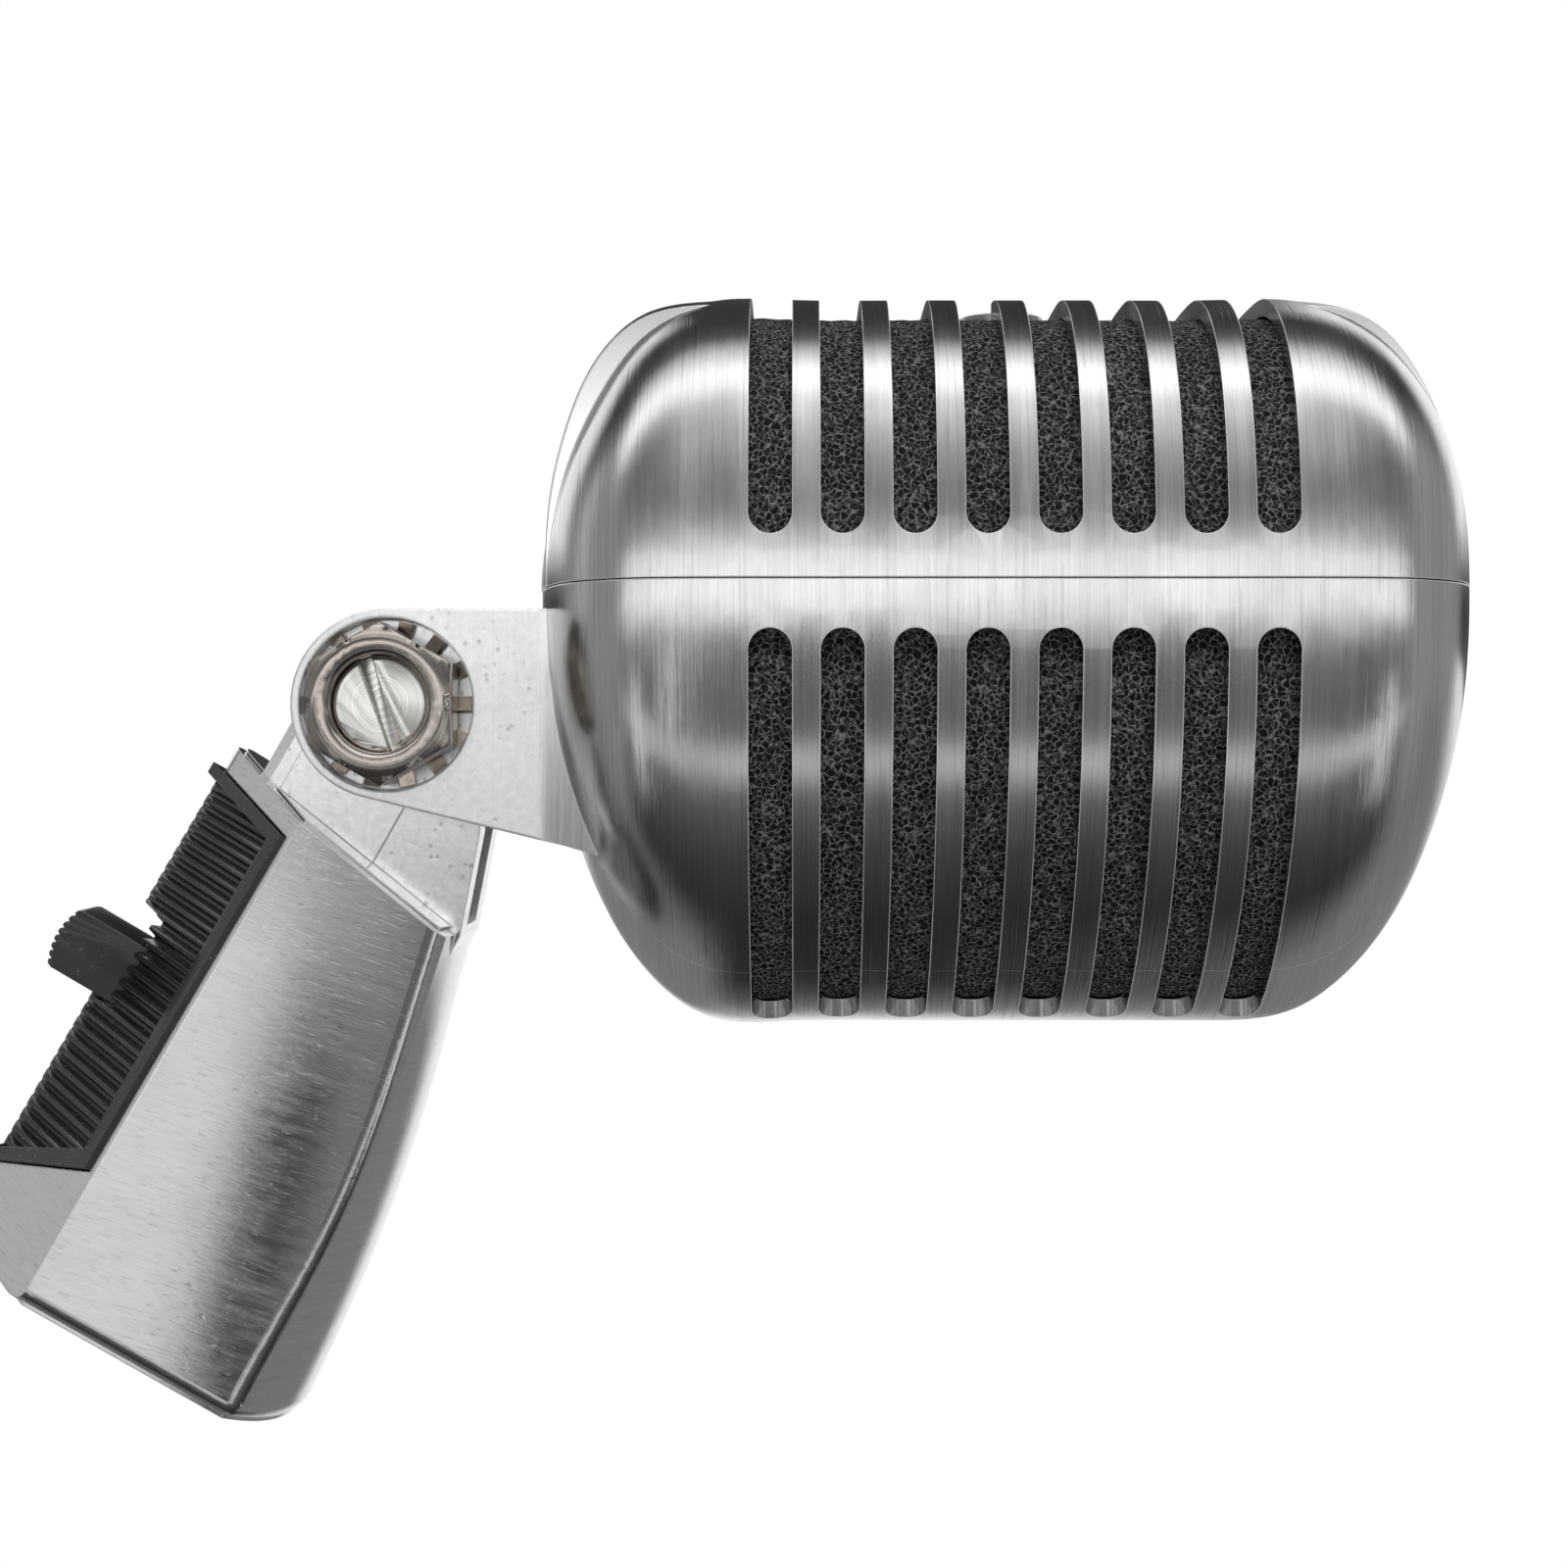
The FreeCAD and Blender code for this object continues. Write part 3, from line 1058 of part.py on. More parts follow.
def is_front_foot(edge):
    """True for the edges of the bottom face round its front end."""
    box = edge.BoundBox
    return box.ZMax < 0.1 - BASE_DROP and -box.YMax > BASE_ROWS[-1][1] - 2 * CREASE_ROUND


def stand_base():
    """Casting: lug, slanted shoulders, plate recess, switch pocket, connector bore and stand thread."""
    form = base_form()
    form = form.makeFillet(CREASE_ROUND, [edge for edge in form.Edges if is_front_crease(edge)])
    form = form.makeFillet(FOOT_ROUND, [edge for edge in form.Edges if is_front_foot(edge)])
    ledge = base_form(SHOULDER_LEDGE).cut(above_shoulder())
    body = merge([form.cut(above_shoulder(-SHOULDER_STEP)), ledge, lug()])
    tools = [
        block(base(-CHANNEL_HALF_WIDTH, CHANNEL_BACK, -FAR), base(CHANNEL_HALF_WIDTH, FAR, CHANNEL_FLOOR)),
        cylinder(base(0, PASSAGE_FORWARD, POCKET_TOP + PASSAGE_R), Vector(0, 0, 1), PASSAGE_R, POCKET_TOP),
        place_on_back(plate_block(POCKET_HALF_WIDTH, ridge_at(SWITCH_DEPTH) - POCKET_FRONT, FAR, POCKET_TOP,
                                  SOCKET_END + POCKET_FLOOR_GAP)),
        plate_recess(),
        cylinder(base(0, SOCKET_FORWARD, BASE_DROP), Vector(0, 0, 1), SOCKET_R, SOCKET_DEPTH),
        cylinder(base(0, THREAD_FORWARD, BASE_DROP), Vector(0, 0, 1), THREAD_R, THREAD_DEPTH),
        cylinder(base(-FAR, 0, 0), Vector(1, 0, 0), STUD_R + STUD_CLEAR, 2 * FAR),
        cylinder(base(0, SOCKET_FORWARD, SET_SCREW_DEPTH), Vector(0, 1, 0), SET_SCREW_R + PUSH_GAP, FAR),
    ]
    return body.cut(tools)


# --- The part -----------------------------------------------------------------------------
HEAD_PARTS = {
    "front_shell": front_shell,
    "rear_shell": rear_shell,
    "front_foam": front_foam,
    "rear_foam": rear_foam,
    "cover_screw": cover_screw,
    "capsule_bracket": capsule_bracket,
    "bracket_screws": bracket_screws,
    "shock_mount": shock_mount,
    "capsule_housing": capsule_housing,
    "capsule_cap": capsule_cap,
    "diaphragm": diaphragm,
    "magnet": magnet,
    "voice_coil": voice_coil,
    "transformer_core": transformer_core,
    "transformer_winding": transformer_winding,
    "transformer_strap": transformer_strap,
    "transformer_screws": transformer_screws,
    "capsule_leads": capsule_leads,
    "pivot_stud": pivot_stud,
    "pivot_nuts": lambda: both_sides(pivot_nut()),
    "lock_washers": lambda: both_sides(lock_washer()),
    "friction_washers": lambda: both_sides(friction_washer()),
}
BASE_PARTS = {
    "stand_base": stand_base,
    "switch_plate": switch_plate,
    "switch_body": switch_body,
    "switch_screws": switch_screws,
    "switch_terminals": switch_terminals,
    "connector_insert": connector_insert,
    "connector_pins": connector_pins,
    "connector_screw": connector_screw,
    "switch_slider": switch_slider,
}


def solids_of(made):
    """One compound of all the solids that a piece's function made."""
    shapes = made if isinstance(made, list) else [made]
    return Part.makeCompound([solid for shape in shapes for solid in shape.Solids])


def build():
    """Every piece at its place in the row frame, by name."""
    pieces = {name: place_head(solids_of(make())) for name, make in HEAD_PARTS.items()}
    pieces.update({name: place_base(solids_of(make())) for name, make in BASE_PARTS.items()})
    return pieces


os.makedirs("parts", exist_ok=True)
for name, shape in build().items():
    single = shape.Solids[0] if len(shape.Solids) == 1 else shape
    single.exportStep(os.path.join("parts", name + ".step"))
    print(name, "solids", len(shape.Solids), "volume", round(shape.Volume, 1), "valid", shape.isValid())
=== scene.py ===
import json
import math

import bmesh
import bpy
import numpy as np
from mathutils import Matrix, Vector


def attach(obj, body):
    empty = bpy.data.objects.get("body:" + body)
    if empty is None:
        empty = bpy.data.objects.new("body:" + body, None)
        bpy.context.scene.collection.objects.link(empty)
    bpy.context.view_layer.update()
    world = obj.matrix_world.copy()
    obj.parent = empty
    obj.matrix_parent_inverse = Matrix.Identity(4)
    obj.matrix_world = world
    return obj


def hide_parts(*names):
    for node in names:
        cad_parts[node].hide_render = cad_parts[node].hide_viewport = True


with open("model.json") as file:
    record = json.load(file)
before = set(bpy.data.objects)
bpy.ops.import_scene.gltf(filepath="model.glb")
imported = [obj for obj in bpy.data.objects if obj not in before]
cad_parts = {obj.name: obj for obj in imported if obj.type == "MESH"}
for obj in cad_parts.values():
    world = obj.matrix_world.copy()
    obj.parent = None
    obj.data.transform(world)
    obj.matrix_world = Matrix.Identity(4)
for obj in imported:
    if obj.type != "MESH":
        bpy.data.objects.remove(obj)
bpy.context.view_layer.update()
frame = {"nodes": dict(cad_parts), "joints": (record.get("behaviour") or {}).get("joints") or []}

# --- Castings -------------------------------------------------------------------------------
# Front shell, rear shell and stand base are zinc die castings, plated and brushed satin: the shells
# round the head, the base across its axis. Edges are painted bright, a painted highlight over their
# rounded normal. The fork's arms and the base's lug are left as cast and only plated, so they are
# paler, duller and finely pitted.
TILT = math.radians(60.5)                     # the head leans this far forward at rest
PIVOT = Vector(frame["joints"][0]["pos_m"])
HEAD_UP = Vector((0, -math.sin(TILT), math.cos(TILT)))
HEAD_FORWARD = Vector((0, -math.cos(TILT), -math.sin(TILT)))
HEAD_FOOT = PIVOT.dot(HEAD_UP) + 0.0154       # the head's end at the fork, along HEAD_UP
STRAP_WALL = 0.0128                           # the rear strap's side walls, from the middle plane
LUG_UP = Vector((0, -0.1634, 0.9866))         # square to the base's slanted top, which falls to the front
LUG_FOOT = PIVOT.dot(LUG_UP) - 0.01442        # the slanted top, along LUG_UP
BASE_BRUSH_TURN = math.radians(10.5)          # the base's brushed lines are turned this far about X
PLATING = (0.60, 0.597, 0.588)
AS_CAST = (0.92, 0.925, 0.92)
POLISHED = (0.93, 0.93, 0.92, 1)
# Painted highlight: the near-white colour that brushed edges are painted, standing in for light on their
# rounding
PAINTED_EDGE_HIGHLIGHT = (0.95, 0.95, 0.94, 1)
CAST_DULLER = 0.15                            # roughness that the cast faces have on top
PITS_PER_METRE = 900.0
GRAIN_PER_METRE = 1500.0


def node_tree(name):
    """An empty node material and its tree."""
    material = bpy.data.materials.new(name)
    material.use_nodes = True
    material.node_tree.nodes.clear()
    return material, material.node_tree


def add(tree, kind, inputs=(), **settings):
    """A node with its settings. Inputs are constants by name, or sockets that are linked."""
    node = tree.nodes.new(kind)
    for key, value in settings.items():
        setattr(node, key, value)
    for key, value in dict(inputs).items():
        if isinstance(value, bpy.types.NodeSocket):
            tree.links.new(value, node.inputs[key])
        else:
            node.inputs[key].default_value = value
    return node


def object_place(tree):
    """The place on the surface, in metres."""
    return add(tree, "ShaderNodeTexCoord").outputs["Object"]


def noise(tree, place, scale, detail, roughness=0.5):
    """Noise around a half, with its size in waves per metre."""
    return add(tree, "ShaderNodeTexNoise", {"Vector": place, "Scale": scale, "Detail": detail,
                                            "Roughness": roughness}).outputs["Fac"]


def ramp(tree, value, low, high, to_low, to_high, smooth=False):
    """The value's range low to high carried over to another range, and held outside it."""
    kind = "SMOOTHSTEP" if smooth else "LINEAR"
    node = add(tree, "ShaderNodeMapRange", {"Value": value, "From Min": low, "From Max": high,
                                            "To Min": to_low, "To Max": to_high}, interpolation_type=kind)
    return node.outputs[0]


def by_mask(tree, mask, without, within):
    """One value where the mask is 0 and another where it is 1."""
    return ramp(tree, mask, 0.0, 1.0, without, within)


def by_noise(tree, value, low, high, reach=0.15):
    """A range that a noise runs through as it goes from one side of a half to the other by the reach."""
    return ramp(tree, value, 0.5 - reach, 0.5 + reach, low, high)


def math_node(tree, operation, *values):
    """The result of one operation on values."""
    return add(tree, "ShaderNodeMath", dict(enumerate(values)), operation=operation).outputs[0]


def product(tree, first, *others):
    """All the values multiplied."""
    for other in others:
        first = math_node(tree, "MULTIPLY", first, other)
    return first


def part_along(tree, vector, direction):
    """How far a vector reaches along a direction."""
    return add(tree, "ShaderNodeVectorMath", {0: vector, 1: direction},
               operation="DOT_PRODUCT").outputs["Value"]


def scaled(tree, vector, factor):
    """A vector or colour times a value."""
    return add(tree, "ShaderNodeVectorMath", {0: vector, "Scale": factor}, operation="SCALE").outputs[0]


def blend_colours(tree, factor, first, second):
    """The first colour where the factor is 0 and the second where it is 1."""
    node = add(tree, "ShaderNodeMix", {"Factor": factor, "A": first, "B": second}, data_type="RGBA")
    return node.outputs["Result"]


def new_group(name, inputs, outputs, vectors=()):
    """A shader node group that takes a vector and named values, and gives named values and vectors."""
    group = bpy.data.node_groups.new(name, "ShaderNodeTree")
    group.interface.new_socket("Vector", in_out="INPUT", socket_type="NodeSocketVector")
    for key in inputs:
        group.interface.new_socket(key, in_out="INPUT", socket_type="NodeSocketFloat")
    for key in outputs:
        group.interface.new_socket(key, in_out="OUTPUT", socket_type="NodeSocketFloat")
    for key in vectors:
        group.interface.new_socket(key, in_out="OUTPUT", socket_type="NodeSocketVector")
    return group, add(group, "NodeGroupInput"), add(group, "NodeGroupOutput")


def use_group(tree, group, inputs):
    """A node group placed in a material, with that material's own values."""
    return add(tree, "ShaderNodeGroup", inputs, node_tree=group)


def finish_material(tree, shader):
    """Links the shader to the material's output."""
    output = add(tree, "ShaderNodeOutputMaterial")
    tree.links.new(shader.outputs[0], output.inputs["Surface"])


def finish_bumped(tree, height, strength, depth, inputs, normal=None):
    """Finishes a material with a shader of those inputs, over a bump with a strength and a depth. The
    bump lies on the face's own normal, or on the one given."""
    bump = add(tree, "ShaderNodeBump", {"Height": height, "Strength": strength, "Distance": depth})
    if normal is not None:
        tree.links.new(normal, bump.inputs["Normal"])
    finish_material(tree, add(tree, "ShaderNodeBsdfPrincipled", {**inputs, "Normal": bump.outputs[0]}))


def paint(node, material):
    """Gives a CAD node or a piece one material."""
    node.data.materials.clear()
    node.data.materials.append(material)


def paint_nodes(finishes):
    """Gives each CAD node of a list by name its material."""
    for name, material in finishes.items():
        paint(frame["nodes"][name], material)


def brush_group():
    """Lines of a brushed finish at constant Z of the group's vector. Fine noise stretched along X and Y
    gives the lines, a coarser one their stronger and weaker strokes, and a sharp one single scratches."""
    group, entry, leave = new_group("brushed_lines", ["Lines per metre", "Ends per metre"],
                                    ["Lines", "Strokes", "Scratches"])
    lines, ends = entry.outputs["Lines per metre"], entry.outputs["Ends per metre"]

    def stretched(ends_share, lines_share, detail, roughness):
        """Noise with these shares of the lines and ends per metre."""
        along_line = product(group, ends, ends_share)
        across_line = product(group, lines, lines_share)
        scale = add(group, "ShaderNodeCombineXYZ", {"X": along_line, "Y": along_line, "Z": across_line})
        place = add(group, "ShaderNodeVectorMath", {0: entry.outputs["Vector"], 1: scale.outputs[0]},
                    operation="MULTIPLY")
        return noise(group, place.outputs[0], 1.0, detail, roughness)

    group.links.new(stretched(1.0, 1.0, 4.0, 0.7), leave.inputs["Lines"])
    group.links.new(stretched(0.4, 0.16, 3.0, 0.6), leave.inputs["Strokes"])
    sharp = ramp(group, stretched(1.5, 0.7, 0.0, 0.5), 0.70, 0.76, 0.0, 1.0)
    group.links.new(sharp, leave.inputs["Scratches"])
    return group


def wear_group():
    """Handling marks. Soft noise gives smudges. The middles of small cells give pits, full to 0.12 of a
    cell and gone at 0.30, and thinned out by a wide noise."""
    group, entry, leave = new_group("handling_marks", ["Spots per metre"], ["Smudges", "Pits"])
    place = entry.outputs["Vector"]
    spots = add(group, "ShaderNodeTexVoronoi", {"Vector": place, "Scale": entry.outputs["Spots per metre"]})
    pit = ramp(group, spots.outputs["Distance"], 0.12, 0.30, 1.0, 0.0, smooth=True)
    here = ramp(group, noise(group, place, 260.0, 1.0), 0.5, 0.62, 0.0, 1.0)
    group.links.new(noise(group, place, 90.0, 4.0, 0.55), leave.inputs["Smudges"])
    group.links.new(product(group, pit, here), leave.inputs["Pits"])
    return group


def edge_group():
    """Rounded edges. A normal rounded over a radius is compared with the face's own: where they part, the
    edge mask rises from 0 to 1, and the rounded normal takes the place of the face's."""
    group, entry, leave = new_group("broken_edges", ["Radius"], ["Edge"], ["Normal"])
    rounded = add(group, "ShaderNodeBevel", {"Radius": entry.outputs["Radius"]}, samples=6).outputs[0]
    own = add(group, "ShaderNodeNewGeometry").outputs["Normal"]
    alike = part_along(group, rounded, own)
    parted = ramp(group, alike, 0.998, 0.985, 0.0, 1.0)
    normal = add(group, "ShaderNodeMix", {"Factor": parted, "A": own, "B": rounded}, data_type="VECTOR")
    group.links.new(ramp(group, alike, 0.985, 0.90, 0.0, 1.0), leave.inputs["Edge"])
    group.links.new(normal.outputs["Result"], leave.inputs["Normal"])
    return group


BRUSHED = brush_group()
HANDLED = wear_group()
EDGES = edge_group()


def satin_metal(name, turn, roughness, lines, ends, contrast, relief, edge, cast_edge, cast_side,
                polished_at=None):
    """Satin plated metal, brushed at constant height along an axis turned about X. Beyond a plane, given
    as its normal and two distances along it, it is left as cast, paler and pitted. At one distance from
    the middle plane it is polished. Its edges are rounded, and painted bright as a painted highlight
    where it is brushed."""
    material, tree = node_tree(name)
    place = object_place(tree)
    turned = add(tree, "ShaderNodeMapping", {"Vector": place, "Rotation": (turn, 0, 0)}).outputs[0]
    brushed = use_group(tree, BRUSHED, {"Vector": turned, "Lines per metre": lines, "Ends per metre": ends})
    handled = use_group(tree, HANDLED, {"Vector": place, "Spots per metre": PITS_PER_METRE})
    fine, strokes, scratches = [brushed.outputs[key] for key in ("Lines", "Strokes", "Scratches")]
    tint = product(tree, by_noise(tree, fine, 1 - 1.2 * contrast, 1 + contrast, 0.25),
                   by_noise(tree, strokes, 0.95, 1.04, 0.2), by_mask(tree, scratches, 1.0, 0.9))
    bright = scaled(tree, PLATING, tint)
    rough = math_node(tree, "ADD", by_noise(tree, strokes, roughness - 0.02, roughness + 0.03, 0.2),
                      ramp(tree, handled.outputs["Smudges"], 0.4, 0.7, 0.0, 0.05))
    height = math_node(tree, "MULTIPLY_ADD", scratches, -0.5, fine)

    cast_normal, cast_from, cast_to = cast_side
    cast = ramp(tree, part_along(tree, place, cast_normal), cast_from, cast_to, 0.0, 1.0)
    grain = noise(tree, place, GRAIN_PER_METRE, 5.0, 0.65)
    pitted = product(tree, by_mask(tree, handled.outputs["Pits"], 1.0, 0.72),
                     by_noise(tree, grain, 0.90, 1.06, 0.2), by_noise(tree, fine, 0.95, 1.03, 0.2))
    bright = blend_colours(tree, cast, bright, scaled(tree, AS_CAST, pitted))
    rough = math_node(tree, "MULTIPLY_ADD", cast, CAST_DULLER, rough)
    height = product(tree, height, by_mask(tree, cast, 1.0, 0.35))
    height = math_node(tree, "MULTIPLY_ADD", product(tree, handled.outputs["Pits"], cast), -0.8, height)

    if polished_at is not None:
        side = add(tree, "ShaderNodeSeparateXYZ", {"Vector": place}).outputs["X"]
        off = math_node(tree, "SUBTRACT", math_node(tree, "ABSOLUTE", side), polished_at)
        polished = ramp(tree, math_node(tree, "ABSOLUTE", off), 0.00002, 0.00006, 1.0, 0.0)
        bright = blend_colours(tree, polished, bright, POLISHED)
        rough = product(tree, rough, by_mask(tree, polished, 1.0, 0.5))
        height = product(tree, height, by_mask(tree, polished, 1.0, 0.1))

    broken = use_group(tree, EDGES, {"Radius": by_mask(tree, cast, edge, cast_edge)})
    # Painted highlight: brushed edges are painted near white and less metallic, over their rounded normal
    edge_highlight_mask = product(tree, broken.outputs["Edge"], by_mask(tree, cast, 1.0, 0.0))
    finish_bumped(tree, height, 0.45, relief,
                  {"Base Color": blend_colours(tree, edge_highlight_mask, bright, PAINTED_EDGE_HIGHLIGHT),
                   "Metallic": by_mask(tree, edge_highlight_mask, 1.0, 0.55), "Roughness": rough},
                  normal=broken.outputs["Normal"])
    return material


head_satin = satin_metal("head_satin", -TILT, roughness=0.16, lines=4200.0, ends=60.0, contrast=0.12,
                         relief=0.00003, edge=0.0002, cast_edge=0.0005, polished_at=STRAP_WALL,
                         cast_side=(HEAD_UP, HEAD_FOOT + 0.0013, HEAD_FOOT + 0.0003))
base_satin = satin_metal("base_satin", BASE_BRUSH_TURN, roughness=0.06, lines=7000.0, ends=330.0,
                         contrast=0.09, relief=0.000012, edge=0.0003, cast_edge=0.0002,
                         cast_side=(LUG_UP, LUG_FOOT - 0.0001, LUG_FOOT + 0.0001))
paint_nodes({"front_shell": head_satin, "rear_shell": head_satin, "stand_base": base_satin})

# --- Foam lining ----------------------------------------------------------------------------
# Two pads of open-cell black foam lie behind the slots of the front and rear shell. The foam is cut
# from sheet and pushed in, so its face is slightly lumpy. Its cells are rings of thin strands, painted
# lit with painted glints, over hollows painted near black as painted shade.
FOAM_GRID = 0.0008                            # side of the mesh's squares
FOAM_LUMP = 0.00012                           # half the depth of the lumps
FOAM_WAVES = np.array([[1900.0, 1300.0, 700.0],
                       [900.0, -1700.0, 1500.0],
                       [-700.0, 1100.0, 2100.0]])   # each wave's radians per metre along X, Y and Z
CELLS_PER_METRE = 1500.0
DEEP_CELLS_PER_METRE = 900.0
CELL_SHIFT = 0.0003                           # how far the cells are pushed out of shape
# Painted shade: the near-black colour of the hollows between strands
FOAM_PAINTED_SHADE = (0.004, 0.004, 0.004, 1)
# Painted light: the lit grey of the strands
FOAM_STRAND_PAINTED_LIT = (0.135, 0.134, 0.13, 1)
WELD_REACH = 0.000002                         # corners closer than this are joined
SHARP_ANGLE = math.radians(32)                # an edge sharper than this is a real one


def foam_material():
    """Open cells: a strand runs where two cells meet, over the fainter strands of a wider, deeper layer,
    painted dimmer as shade. Strands are painted lit against hollows painted near black as shade, and
    painted glints make them brighter in some places than in others."""
    material, tree = node_tree("open_cell_foam")
    place = object_place(tree)
    jitter = add(tree, "ShaderNodeTexNoise", {"Vector": place, "Scale": 900.0, "Detail": 2.0})
    shift = scaled(tree, jitter.outputs["Color"], CELL_SHIFT)
    moved = add(tree, "ShaderNodeVectorMath", {0: place, 1: shift}, operation="ADD").outputs[0]

    def strands(cells_per_metre, full_at, gone_at, level):
        """Strands of a level, fading out between two distances from where cells meet, in cell widths."""
        cells = add(tree, "ShaderNodeTexVoronoi", {"Vector": moved, "Scale": cells_per_metre},
                    feature="DISTANCE_TO_EDGE")
        return ramp(tree, cells.outputs["Distance"], full_at, gone_at, level, 0.0, smooth=True)

    both = math_node(tree, "MAXIMUM", strands(CELLS_PER_METRE, 0.05, 0.15, 1.0),
                     strands(DEEP_CELLS_PER_METRE, 0.02, 0.10, 0.35))
    # Painted glints: strands are painted brighter in patches, as highlights
    painted_glint = ramp(tree, noise(tree, place, 2600.0, 1.0), 0.42, 0.62, 0.25, 1.0)
    colour = blend_colours(tree, product(tree, both, painted_glint), FOAM_PAINTED_SHADE, FOAM_STRAND_PAINTED_LIT)
    finish_bumped(tree, both, 0.7, 0.00025, {"Base Color": colour, "Roughness": 0.8,
                                             "Specular IOR Level": 0.12})
    return material


def welded_copy(name):
    """A copy of a CAD node's mesh with its triangles joined, smooth but for its real edges."""
    mesh = frame["nodes"][name].data.copy()
    mesh.name = name + "_finished"
    work = bmesh.new()
    work.from_mesh(mesh)
    bmesh.ops.remove_doubles(work, verts=work.verts, dist=WELD_REACH)
    work.to_mesh(mesh)
    work.free()
    mesh.shade_smooth()
    mesh.set_sharp_from_angle(angle=SHARP_ANGLE)
    return mesh


def lumpy_foam(name):
    """The CAD pad on an even grid, its face pushed along its normals by the mean of three crossed sine
    waves, less one, so that it only dips."""
    made = bpy.data.objects.new(name + "_pad", welded_copy(name))
    bpy.context.scene.collection.objects.link(made)
    grid = made.modifiers.new("even_grid", "REMESH")
    grid.mode = "VOXEL"
    grid.voxel_size = FOAM_GRID
    bpy.context.view_layer.update()
    even = bpy.data.meshes.new_from_object(made.evaluated_get(bpy.context.evaluated_depsgraph_get()))
    bpy.data.objects.remove(made)
    count = len(even.vertices)
    points, normals = np.empty(count * 3), np.empty(count * 3)
    even.vertices.foreach_get("co", points)
    even.vertices.foreach_get("normal", normals)
    points, normals = points.reshape(-1, 3), normals.reshape(-1, 3)
    waves = np.sin(points @ FOAM_WAVES.T).mean(axis=1)
    points += normals * (FOAM_LUMP * (waves - 1))[:, None]
    even.vertices.foreach_set("co", points.ravel())
    even.shade_smooth()
    even.name = name + "_pad"
    return even


def piece(name, mesh, body, material):
    """A finished piece of that body, with its material."""
    made = bpy.data.objects.new(name, mesh)
    bpy.context.scene.collection.objects.link(made)
    paint(made, material)
    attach(made, body)
    return made


foam = foam_material()
for name in ("front_foam", "rear_foam"):
    pad = piece(name + "_pad", lumpy_foam(name), "head", foam)
    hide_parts(name)

# --- Cover screw ----------------------------------------------------------------------------
# A slotted cheese-head screw of plated steel sits in the rear shell's boss. It runs into the
# bracket's standoff and holds the shell on.
def surface(name, colour, metallic, roughness, second=None, grain=600.0, relief=0.00001, coat=0.0):
    """A plain finish with fine mottling between two colours, matching changes of gloss and a low relief.
    The second colour is seven tenths of the first if none is given."""
    material, tree = node_tree(name)
    place = object_place(tree)
    handled = use_group(tree, HANDLED, {"Vector": place, "Spots per metre": grain})
    fine = noise(tree, place, grain, 4.0, 0.6)
    other = second or tuple(channel * 0.7 for channel in colour)
    mottled = blend_colours(tree, by_noise(tree, fine, 0.0, 1.0), (*colour, 1), (*other, 1))
    rough = by_noise(tree, handled.outputs["Smudges"], roughness * 0.85, roughness * 1.2)
    height = math_node(tree, "MULTIPLY_ADD", handled.outputs["Pits"], -0.5, fine)
    finish_bumped(tree, height, 0.5, relief, {"Base Color": mottled, "Metallic": metallic,
                                              "Roughness": rough, "Coat Weight": coat})
    return material


PLATED = surface("plated_steel", (0.62, 0.61, 0.58), 1.0, 0.28)
paint_nodes({"cover_screw": PLATED})

# --- Capsule --------------------------------------------------------------------------------
# A moving-coil unit: an anodised aluminium housing in a rubber cup, a moulded cap, a film diaphragm
# that carries the copper coil, and a ground pot magnet.
paint_nodes({
    "capsule_housing": surface("anodised_aluminium", (0.55, 0.55, 0.56), 1.0, 0.35),
    "capsule_cap": surface("moulded_cap", (0.05, 0.05, 0.052), 0.0, 0.45),
    "diaphragm": surface("clear_film", (0.66, 0.58, 0.42), 0.0, 0.18, (0.60, 0.52, 0.38), coat=0.6),
    "voice_coil": surface("enamelled_wire", (0.72, 0.34, 0.16), 1.0, 0.32, (0.58, 0.25, 0.11), grain=5000.0,
                          relief=0.00004),
    "magnet": surface("ground_magnet", (0.30, 0.30, 0.31), 1.0, 0.42),
    "shock_mount": surface("soft_rubber", (0.022, 0.022, 0.022), 0.0, 0.75, (0.035, 0.034, 0.033)),
})

# --- Bracket, transformer and leads ---------------------------------------------------------
# A stamped steel plate on four screws carries the capsule and a small matching transformer under a
# tinned strap. Two thin sleeved wires join them.
SHEETS_PER_METRE = 2000.0


def laminated_core():
    """Steel sheets on edge: thin dark gaps at a constant distance along the stack."""
    material, tree = node_tree("laminated_core")
    place = object_place(tree)
    phase = math_node(tree, "FRACT", product(tree, part_along(tree, place, HEAD_UP), SHEETS_PER_METRE))
    sheet = ramp(tree, phase, 0.02, 0.16, 0.0, 1.0)
    fine = noise(tree, place, 1200.0, 3.0)
    steel = blend_colours(tree, fine, (0.30, 0.29, 0.28, 1), (0.42, 0.40, 0.38, 1))
    colour = blend_colours(tree, sheet, (0.03, 0.028, 0.026, 1), steel)
    finish_bumped(tree, sheet, 0.8, 0.00006, {"Base Color": colour, "Metallic": 1.0, "Roughness": 0.4})
    return material


paint_nodes({
    "capsule_bracket": surface("passivated_plate", (0.60, 0.58, 0.50), 1.0, 0.34, (0.48, 0.47, 0.42)),
    "bracket_screws": PLATED,
    "transformer_core": laminated_core(),
    "transformer_winding": surface("winding_tape", (0.62, 0.46, 0.10), 0.0, 0.4, (0.52, 0.37, 0.07)),
    "transformer_strap": surface("tinned_strap", (0.58, 0.58, 0.57), 1.0, 0.3),
    "transformer_screws": PLATED,
    "capsule_leads": surface("wire_sleeve", (0.42, 0.03, 0.025), 0.0, 0.4, (0.36, 0.025, 0.02)),
})

# --- Pivot ----------------------------------------------------------------------------------
# A threaded stud, slotted in both ends, runs through fork and lug. Each side has a toothed lock washer
# and a nickel-plated hexagon nut, turned on its end faces. Fibre washers give the hinge its friction.
STUD_AXIS = (1, 0, 0)
SQUARE_TO_STUD = (0, 1, 1)
STUD_RINGS_PER_METRE = 5200.0
NUT_RINGS_PER_METRE = 2600.0


